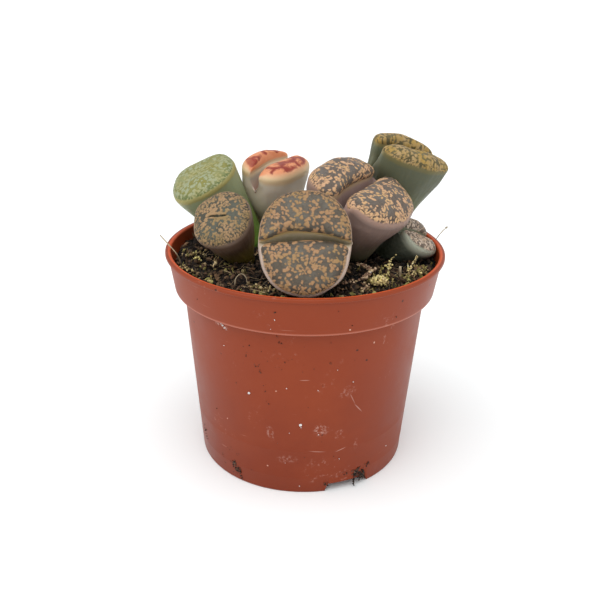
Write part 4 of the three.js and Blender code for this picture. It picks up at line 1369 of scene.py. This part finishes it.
def round_side(plant, s, w, side):
    """The round outside of one leaf. It squares off slowly up the body, and its two ends part
    from the other leaf only above the bottom of the cleft."""
    x_half, far, near = girth(plant, s)
    width = far if side > 0 else near
    angle = np.arange(ROUND_STEPS + 1) * math.pi / ROUND_STEPS
    across = np.abs(power(np.sin(angle), 2 / plant["square"]))
    x = side * power(np.cos(angle), 2 / plant["square"]) * x_half
    if "cleft" not in plant:
        return x, side * width * across
    leaf = 0 if side > 0 else 1
    parted = ease(1.4 * w, 0, 1)
    squared = 1 - (1 - ease(across, 0, 0.35) * ease(s, 0.45, 1.0)) * (1 - parted)
    corner = plant["corner"][leaf] + plant["gap"][leaf] * (1 - plant["taper"])
    x = x * (1 - 0.02 * parted) * (1 + (plant["lobe_scale"][leaf] - 1) * squared)
    return x, side * (width * across + corner * (1 - across) * squared)


def full_section(plant, s):
    """The whole outline of the body below the cleft, from its two round sides."""
    x, y = round_side(plant, s, 0.0, 1)
    x_near, y_near = round_side(plant, s, 0.0, -1)
    return np.append(x, x_near[1:-1]), np.append(y, y_near[1:-1])


def leaf_section(plant, s, w, side):
    """One leaf above the bottom of the cleft: the round outside, then back along the fissure."""
    x, y = round_side(plant, s, w, side)
    half, shoulder = abs(x[0]), abs(y[0])
    gap = plant["gap"][0 if side > 0 else 1] * w ** 0.8
    arch = plant["arch"] * w

    def inner(x):
        r = np.minimum(np.abs(x) / half, 1)
        return side * gap * (1 - plant["taper"] * r * r) + arch * (1 - r * r)

    angle = np.arange(1, SEAM_STEPS) * math.pi / SEAM_STEPS
    x_seam = -side * power(np.cos(angle), 2 / FISSURE_SQUARENESS) * half
    reach = np.sin(angle) ** (2 / FISSURE_SQUARENESS)
    y_seam = side * shoulder + (inner(x_seam) - side * shoulder) * reach
    middle = 0.95 * side * (shoulder + np.abs(y).max()) / 2
    return np.concatenate([x, x_seam]), np.concatenate([y, y_seam]), float(middle)


def tilted(plant, s, y, w, side):
    """How far the tilt of a leaf lifts its fissure side and sinks its outer side."""
    slope = math.tan(math.radians(plant["lobe_tilt"][0 if side > 0 else 1]))
    _, _, middle = leaf_section(plant, 1.0, 1.0, side)
    beyond = side * (y - middle)
    sink = slope * np.maximum(beyond, 0) * ease(s, 0.5, 1.0)
    return slope * np.maximum(-beyond, 0) * ease(w, 0, 1) - sink


class Skin:
    """The skin of one plant: its points, where each lies on the plant, and its faces."""

    def __init__(self):
        self.points, self.flat, self.numbers, self.faces, self.count = [], [], [], [], 0

    def ring(self, points, flat, edge, seam, around, leaf, low):
        """flat is where the point lies on the flattened top. edge is how far it lies inside
        the rim, less than 0 down the side; around is how far round the rim."""
        n = len(points)
        numbers = [
            np.broadcast_to(np.asarray(value, float), n)
            for value in (edge, seam, around, leaf, low)
        ]
        self.points.append(points)
        self.flat.append(flat)
        self.numbers.append(np.stack(numbers, 1))
        self.count += n
        return np.arange(self.count - n, self.count)

    def band(self, low, high):
        """Faces between two rings of as many points."""
        a, b = low, np.roll(low, -1)
        d, c = high, np.roll(high, -1)
        self.faces.append(np.stack([a, b, c, d], 1))

    def fan(self, ring, tip, up):
        """Faces from a ring to one point above or below it."""
        a, b = ring, np.roll(ring, -1)
        if not up:
            a, b = b, a
        self.faces.append(np.stack([a, b, np.full(len(a), tip)], 1))


def cap_rings(plant, place, skin, row, x, y, middle, slope, seam, around, leaf):
    """The domed top, ring by ring from the rim in to the crown."""
    angle = np.arange(1, CAP_ROWS + 1) / (CAP_ROWS + 1) * math.pi / 2
    shrink = np.cos(angle) ** (2 / plant["flatness"])
    rise = plant["pillow"] * np.sin(angle) ** (2 / plant["flatness"])
    rings = [place(1, x, y, -slope * (y - middle))]
    for k, up in zip(shrink, rise):
        across = (y - middle) * k
        rings.append(place(1, x * k, middle + across, up - slope * across))
    crown = place(1, 0, middle, plant["pillow"])
    steps = np.linalg.norm(np.diff(np.array(rings), axis=0), axis=2)
    edge = np.cumsum(steps, 0)
    whole = edge[-1] + np.linalg.norm(rings[-1] - crown, axis=1)
    for ring, inside in zip(rings[1:], edge):
        left = (1 - inside / whole)[:, None]
        flat = np.column_stack([x, y - middle]) * left + [0, middle]
        new = skin.ring(ring, flat, inside, seam, around, leaf, 1.0)
        skin.band(row, new)
        row = new
    tip = skin.ring(crown[None], np.array([[0, middle]]), whole.mean(), 0, 0, leaf, 1.0)
    skin.fan(row, tip[0], True)


def way_round(x, y):
    """How far round a closed outline each of its points lies."""
    steps = np.diff(np.column_stack([x, y]), axis=0, append=[[x[0], y[0]]])
    length = np.linalg.norm(steps, axis=1)
    return np.cumsum(length) - length


def root_rings(plant, place, start, length, skin):
    """The pointed root under the neck, up to its last ring."""
    tip_at = start - [0, 0, ROOT_DEPTH]
    x, y = full_section(plant, 0)
    flat = np.zeros((len(x), 2))
    tip = skin.ring(tip_at[None], flat[:1], -length, 0, 0, 0, 0)
    row = None
    for k in (0.2, 0.45, 0.7, 0.9):
        scale = 0.25 + 0.75 * k
        centre = tip_at + (start - tip_at) * k
        ring = place(0, x * scale, y * scale, 0) + centre - start
        new = skin.ring(ring, flat, -length, 0, 0, 0, 0)
        if row is None:
            skin.fan(new, tip[0], False)
        else:
            skin.band(row, new)
        row = new
    return row


def body_rings(plant, place, length, skin, row, fork, rim):
    """The body above the root, up to the fraction of the stem where it forks or ends."""
    for k in range(SIDE_ROWS + 1):
        s = fork * k / SIDE_ROWS
        x, y = full_section(plant, s)
        lean = 0 * y
        if "cleft" in plant:
            lean = np.where(y >= 0, tilted(plant, s, y, 0.0, 1), tilted(plant, s, y, 0.0, -1))
        flat = np.zeros((len(x), 2))
        new = skin.ring(place(s, x, y, lean), flat, -(1 - s) * length, 0, rim, 0.5, s)
        skin.band(row, new)
        row = new
    return row


def leaf_rings(plant, place, length, skin, last, fork, deep, side):
    """One leaf above the fork and its domed top. last is the ring that it grows from."""
    x, y, middle = leaf_section(plant, 1.0, 1.0, side)
    around = way_round(x, y) + LEAF_OFFSET * (side < 0)
    to_corner = np.minimum(
        np.hypot(x - x[0], y - y[0]), np.hypot(x - x[ROUND_STEPS], y - y[ROUND_STEPS]))
    beyond = 0.5 * ease(to_corner, 0, 0.9)
    seam = np.where(np.arange(len(x)) > ROUND_STEPS, 0.5 + beyond, 0.5 - beyond)
    leaf = 1.0 if side > 0 else 0.0
    along = deep if side > 0 else deep[::-1]
    for k in range(1, LOBE_ROWS + 1):
        w = k / LOBE_ROWS
        s = fork + (1 - fork) * w
        x, y, middle = leaf_section(plant, s, w, side)
        level = np.concatenate([np.full(ROUND_STEPS + 1, s), along + (1 - along) * w])
        ring = place(level, x, y, tilted(plant, level, y, w, side))
        new = skin.ring(
            ring, np.column_stack([x, y]), -(1 - level) * length, seam, around, leaf, s)
        skin.band(last, new)
        last = new
    slope = side * math.tan(math.radians(plant["lobe_tilt"][0 if side > 0 else 1]))
    cap_rings(plant, place, skin, last, x, y, middle, slope, seam, around, leaf)


def grow(plant):
    """The whole skin of one plant, from the tip of its root to its top."""
    place, start, length = stem_of(plant)
    skin = Skin()
    row = root_rings(plant, place, start, length, skin)
    closed = "cleft" not in plant
    fork = 1.0 if closed else 1 - plant["ends"] / length
    x, y = full_section(plant, 1.0)
    rim = way_round(x, y)
    row = body_rings(plant, place, length, skin, row, fork, rim)
    if closed:
        cap_rings(plant, place, skin, row, x, y, 0.0, 0.0, 0, rim, 0.5)
        return skin
    reach = girth(plant, fork)[0]
    angle = np.arange(1, SEAM_STEPS) * math.pi / SEAM_STEPS
    x = -power(np.cos(angle), 2 / FISSURE_SQUARENESS) * reach
    depth = plant["ends"] + (plant["cleft"] - plant["ends"]) * (1 - (x / reach) ** 2) ** 0.6
    deep = 1 - depth / length
    valley = skin.ring(
        place(deep, x, 0 * x, 0 * x), np.column_stack([x, 0 * x]), -depth, 1, x, 0.5, fork)
    far_side, near_side = row[: ROUND_STEPS + 1], np.append(row[ROUND_STEPS:], row[0])
    for side, foot in ((1, [far_side, valley]), (-1, [near_side, valley[::-1]])):
        leaf_rings(plant, place, length, skin, np.concatenate(foot), fork, deep, side)
    return skin


def clusters(points, size, seed, share, radius=0.52):
    """Round spots, one to a cell where the share lets it, that run together where they touch.
    Gives how far inside the spots each point lies, and how far from the line between cells."""
    melt = 0.045
    first = second = np.full(len(points), 9.0)
    total = np.zeros(len(points))
    for distance, lot in nearby_spots(points, size, seed, 0.12):
        first, second = nearest_two(distance, first, second)
        grown = ease(share - (lot // 977) % 1000 / 1000, -0.08, 0.12)
        wide = radius * (0.75 + 0.5 * ((lot // 131) % 1000 / 1000)) * grown
        total += np.exp((wide - distance) / melt)
    return melt * size * np.log(np.maximum(total, 1e-9)), (second - first) * size / 2


def veined(plant, flat, edge):
    """Broad veins with fine twigs beside them, that stop short of the rim."""
    seed = plant["seed"]
    cell, width, fine = plant["pattern"]["veins"]
    bent = pushes(flat, 2.2, seed + 5) + 0.25 * pushes(flat, 0.9, seed + 7)
    broad = lumps(flat + 0.07 * cell * bent, cell, seed) * cell / 2 - width
    twigs = lumps(flat + 0.05 * cell * bent, cell / 2.2, seed + 1) * cell / 4.4 - fine
    near_vein = ease(broad, 0.9, 0.15)
    twigs = twigs * near_vein + 0.5 * (1 - near_vein)
    return 5 * (np.minimum(broad, twigs) + 1.1 * ease(edge, 2.6, 0.9))


def mottled(plant, flat, edge, seam, around):
    """Spots that run together in the middle of the top, and long islands packed side by side
    along its rim, which reach inwards and give way to the spots."""
    p = plant["pattern"]
    seed = plant["seed"]
    outer = ease(edge, p["reach"][1], p["reach"][0]) * (1 - seam)
    inner = ease(edge, 1.7, 0.3) * seam
    share = p["share"] + p["open"] * waves(flat, 2.2, seed + 4) + 0.1 * waves(flat, 5.5, seed + 9)
    share = share + (p["seam"] - share) * inner
    bent = pushes(flat, 1.0, seed + 5) + 0.6 * pushes(flat, 0.45, seed + 11)
    spots, _ = clusters(flat + 0.06 * bent, p["spot"], seed, share)
    rays = np.column_stack([around, edge / p["stretch"]]) + 0.09 * bent
    packed, lines = clusters(rays, p["cell"], seed + 7, 1.0, 0.62)
    packed = np.minimum(packed, lines - p["line"] + 0.03 * waves(rays, 0.7, seed + 8))
    return 5 * (spots * (1 - outer) + packed * outer)


def islands(plant, flat, edge, seam, around):
    """More than 0 on an island, less than 0 in the window or the dark line between islands."""
    if "veins" in plant["pattern"]:
        return veined(plant, flat, edge)
    return mottled(plant, flat, edge, seam, around)


def outward(points, faces):
    """The way out of the skin at each point."""
    normal = np.zeros_like(points)
    for block in faces:
        a, b, c = (points[block[:, k]] for k in range(3))
        if block.shape[1] == 4:
            d = points[block[:, 3]]
            turn = np.cross(c - a, d - b)
        else:
            turn = np.cross(b - a, c - a)
        for k in range(block.shape[1]):
            for axis in range(3):
                normal[:, axis] += np.bincount(block[:, k], turn[:, axis], len(points))
    return normal / np.maximum(np.linalg.norm(normal, axis=1), 1e-12)[:, None]


def press_slit(plant, points, flat, normal, edge):
    """The short crack of a plant that has only begun to open, between two raised lips."""
    slit = plant["slit"]
    turn = math.radians(slit["turn"])
    x, y = (flat - [slit["along"], slit["across"]]).T
    u = x * math.cos(turn) + y * math.sin(turn)
    v = y * math.cos(turn) - x * math.sin(turn) + 0.1 * np.sin(1.6 * u)
    half = slit["length"] / 2
    inside = ease(np.abs(u), half + 0.25, half - 0.7) * (edge > 0)
    groove = np.exp(-(v / (0.55 * slit["width"])) ** 4) * inside
    beside = ease(np.abs(u), half + 0.7, half - 0.8) * (edge > 0)
    lips = np.exp(-((np.abs(v) - slit["lip_out"]) / slit["lip_width"]) ** 2) * beside
    rise = slit["lip_height"] * lips - slit["depth"] * groove
    return points + normal * rise[:, None], groove, lips


def skin_group():
    """Colour, height and roughness of a plant's skin from the numbers that its mesh carries."""
    group = bpy.data.node_groups.new("plant_skin", "ShaderNodeTree")
    opened(
        group, "INPUT", "Color", "window", "clear", "island", "tint", "line", "band", "side",
        "foot", "wall", "lip", "lip near")
    opened(group, "INPUT", "Float", "band start", "band end", "soft")
    opened(group, "OUTPUT", "Color", "Colour")
    opened(group, "OUTPUT", "Float", "Height", "Roughness")
    given = put(group, "NodeGroupInput").outputs
    place = object_place(group)
    isle, edge, seam = (number(group, n) for n in ("isle", "edge", "seam"))
    leaf, low, open_part = (number(group, n) for n in ("leaf", "low", "open"))
    fine = speckle(group, place, 2600, 3, 0.6)
    cloud = speckle(group, place, 320, 3, 0.6)

    ragged = swayed(group, isle, fine, 0.5)
    soft = given["soft"]
    on_isle = fade(group, ragged, calc(group, "MULTIPLY", soft, -1.0), soft)
    off_seam = calc(group, "SUBTRACT", 1.0, calc(group, "MULTIPLY", seam, 0.5))
    margin = calc(group, "MULTIPLY", fade(group, edge, 2.6, 0.8), off_seam)
    # Paler patches in the windows, where open lets them: a painted reflection of the soft lights.
    clear = calc(group, "MULTIPLY", open_part, fade(group, cloud, 0.35, 0.65))
    window = blend(group, clear, given["window"], given["clear"])
    window = blend(group, fade(group, fine, 0.42, 0.7, 0, 0.35), window, given["line"])
    window = blend(group, calc(group, "MULTIPLY", margin, 0.75), window, given["line"])
    island = blend(group, fade(group, cloud, 0.38, 0.68), given["island"], given["tint"])
    rim_of_isle = fade(group, ragged, 0.55, 0.1, 0, 0.28)
    island = blend(group, rim_of_isle, island, given["line"])
    island = blend(group, fade(group, fine, 0.55, 0.8, 0, 0.3), island, given["band"])
    face = blend(group, on_isle, window, island)

    edge_zone = swayed(group, edge, cloud, 0.5)
    up = fade(group, swayed(group, low, cloud, 0.2), 0.1, 0.75)
    flank = blend(group, up, given["foot"], given["side"])
    shade = blend(group, 0.45, given["wall"], given["line"])
    wall = blend(group, fade(group, edge, -2.6, -0.3), shade, given["wall"])
    flank = blend(group, fade(group, seam, 0.35, 0.75), flank, wall)
    freckle = fade(group, speckle(group, place, 1500, 4, 0.7), 0.35, 0.7)
    flank = blend(group, calc(group, "MULTIPLY", freckle, 0.22), flank, given["band"])
    lip = blend(group, leaf, given["lip near"], given["lip"])
    ring = blend(group, fade(group, seam, 0.35, 0.75), given["band"], lip)
    seam_end = fade(group, seam, 0.0, 1.0, 1.0, 0.35)
    start = calc(group, "MULTIPLY", given["band start"], seam_end)
    end = calc(group, "MULTIPLY", given["band end"], seam_end)
    colour = blend(group, fade(group, edge_zone, -0.9, 0.0), flank, ring)
    colour = blend(group, fade(group, edge_zone, start, end), colour, face)

    swell = calc(group, "MULTIPLY", 0.5, fade(group, edge, 0.0, 0.8))
    swell = calc(group, "MULTIPLY", on_isle, swell)
    height = calc(group, "ADD", calc(group, "MULTIPLY", fine, 0.35), swell)
    rough = swayed(group, fade(group, on_isle, 0.0, 1.0, 0.42, 0.56), cloud, 0.2)
    put(group, "NodeGroupOutput", {"Colour": colour, "Height": height, "Roughness": rough})
    return group


plant_skin = skin_group()


def skin_matter(plant):
    material = surface(
        plant["name"] + "_skin", Specular_IOR_Level=0.3, Subsurface_Weight=0.12,
        Subsurface_Radius=(1.0, 0.6, 0.35), Subsurface_Scale=1.2 * MM)
    tree = material.node_tree
    feeds = {key.replace("_", " "): paint(*value) for key, value in plant["colours"].items()}
    feeds.update({"band start": plant["band"][0], "band end": plant["band"][1]})
    feeds["soft"] = plant["soft"]
    skin = put(tree, "ShaderNodeGroup", feeds, node_tree=plant_skin).outputs
    relief = raised(tree, skin["Height"], 0.5, 0.06 * MM)
    return dressed(material, skin["Colour"], skin["Roughness"], relief)


def plant_body(plant):
    skin = grow(plant)
    points = np.concatenate(skin.points)
    flat = np.concatenate(skin.flat)
    edge, seam, around, leaf, low = np.concatenate(skin.numbers).T
    normal = outward(points, skin.faces)
    isle = islands(plant, flat, np.maximum(edge, 0), seam, around)
    top = ease(edge, 0.1, 0.9)
    relief = ISLAND_HEIGHT * ease(isle, -0.25, 0.25) * top
    relief = relief + UNEVENNESS * waves(points, 6.5, plant["seed"] + 9)
    furrow = waves(np.column_stack([around, edge / 9]), 1.1, plant["seed"] + 10)
    relief = relief + FURROW_DEPTH * furrow * ease(edge, 0, -1.5) * (1 - seam)
    points = points + normal * (relief * ease(low, 0.0, 0.15))[:, None]
    if plant.get("slit"):
        points, groove, lips = press_slit(plant, points, flat, normal, edge)
        isle = np.where(groove > 0.3, -3, isle + 1.2 * lips)
    far, near = plant["margin"]
    # open says where the windows carry their paler patches, a painted reflection of the soft
    # lights.
    numbers = {
        "isle": isle, "edge": edge - (far * leaf + near * (1 - leaf)) * (1 - seam), "seam": seam,
        "leaf": leaf, "low": low, "open": ease(waves(flat, 5.5, plant["seed"] + 9), 1.2, 0.0),
    }
    faces = [tuple(face) for block in skin.faces for face in block.tolist()]
    piece = mesh_of(plant["name"] + "_body", points, faces, numbers)
    piece.data.materials.append(skin_matter(plant))
    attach(piece, "root")
    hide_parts(plant["name"])


for plant in PLANTS:
    plant_body(plant)

# ---------------------------------------------------------------------------------------------
# Stage: a white table under soft light from all round, and a camera at the photograph's
# viewpoint, placed in metres and turned in radians. None of it belongs to the object.
# ---------------------------------------------------------------------------------------------
CAMERA_PLACE = (0.0, -0.148763, 0.096487)
CAMERA_PITCH = 0.4097
CAMERA_YAW = -0.00569
CAMERA_ROLL = 0.01783
LENS = 47.549
AROUND = 0.66
TABLE_WHITE = (0.95, 0.975, 0.98, 1)
TABLE_HALF = 6
LIGHTS = [  # name, direction it comes from, how wide it is in degrees, strength
    ("key", (-0.3, -0.4, 1.0), 70, 1.5),
    ("fill", (0.6, -0.35, 0.8), 90, 0.6),
    ("left", (-1.0, -0.3, 0.5), 80, 0.3),
]

floor = bpy.data.objects.new("table", bpy.data.meshes.new("table"))
corners = [(TABLE_HALF * x, TABLE_HALF * y, 0) for x, y in ((-1, -1), (1, -1), (1, 1), (-1, 1))]
floor.data.from_pydata(corners, [], [(0, 1, 2, 3)])
bpy.context.scene.collection.objects.link(floor)
floor.data.materials.append(surface(
    "white_table", Base_Color=TABLE_WHITE, Roughness=0.9, Specular_IOR_Level=0.1))

world = bpy.data.worlds.new("studio")
bpy.context.scene.world = world
world.use_nodes = True
sky = world.node_tree
seen = put(sky, "ShaderNodeLightPath").outputs["Is Camera Ray"]
sky.nodes["Background"].inputs["Color"].default_value = (1, 1, 1, 1)
sky.links.new(fade(sky, seen, 0.0, 1.0, AROUND, 1.0), sky.nodes["Background"].inputs["Strength"])
for name, towards, softness, strength in LIGHTS:
    lamp = bpy.data.lights.new(name, "SUN")
    lamp.angle = math.radians(softness)
    lamp.energy = strength
    holder = bpy.data.objects.new(name, lamp)
    holder.rotation_euler = Vector(towards).to_track_quat("Z", "Y").to_euler()
    bpy.context.scene.collection.objects.link(holder)

lens = bpy.data.cameras.new("camera")
lens.lens = LENS
lens.sensor_width = 36.0
lens.clip_start = 0.01
camera = bpy.data.objects.new("camera", lens)
bpy.context.scene.collection.objects.link(camera)
forward = Vector((
    math.sin(CAMERA_YAW) * math.cos(CAMERA_PITCH), math.cos(CAMERA_YAW) * math.cos(CAMERA_PITCH),
    -math.sin(CAMERA_PITCH)))
level = Vector((math.cos(CAMERA_YAW), -math.sin(CAMERA_YAW), 0))
upright = level.cross(forward)
right = level * math.cos(CAMERA_ROLL) + upright * math.sin(CAMERA_ROLL)
upright = upright * math.cos(CAMERA_ROLL) - level * math.sin(CAMERA_ROLL)
turn = Matrix((right, upright, -forward)).transposed().to_4x4()
camera.matrix_world = Matrix.Translation(CAMERA_PLACE) @ turn
bpy.context.scene.camera = camera
bpy.context.scene.view_settings.view_transform = "Standard"
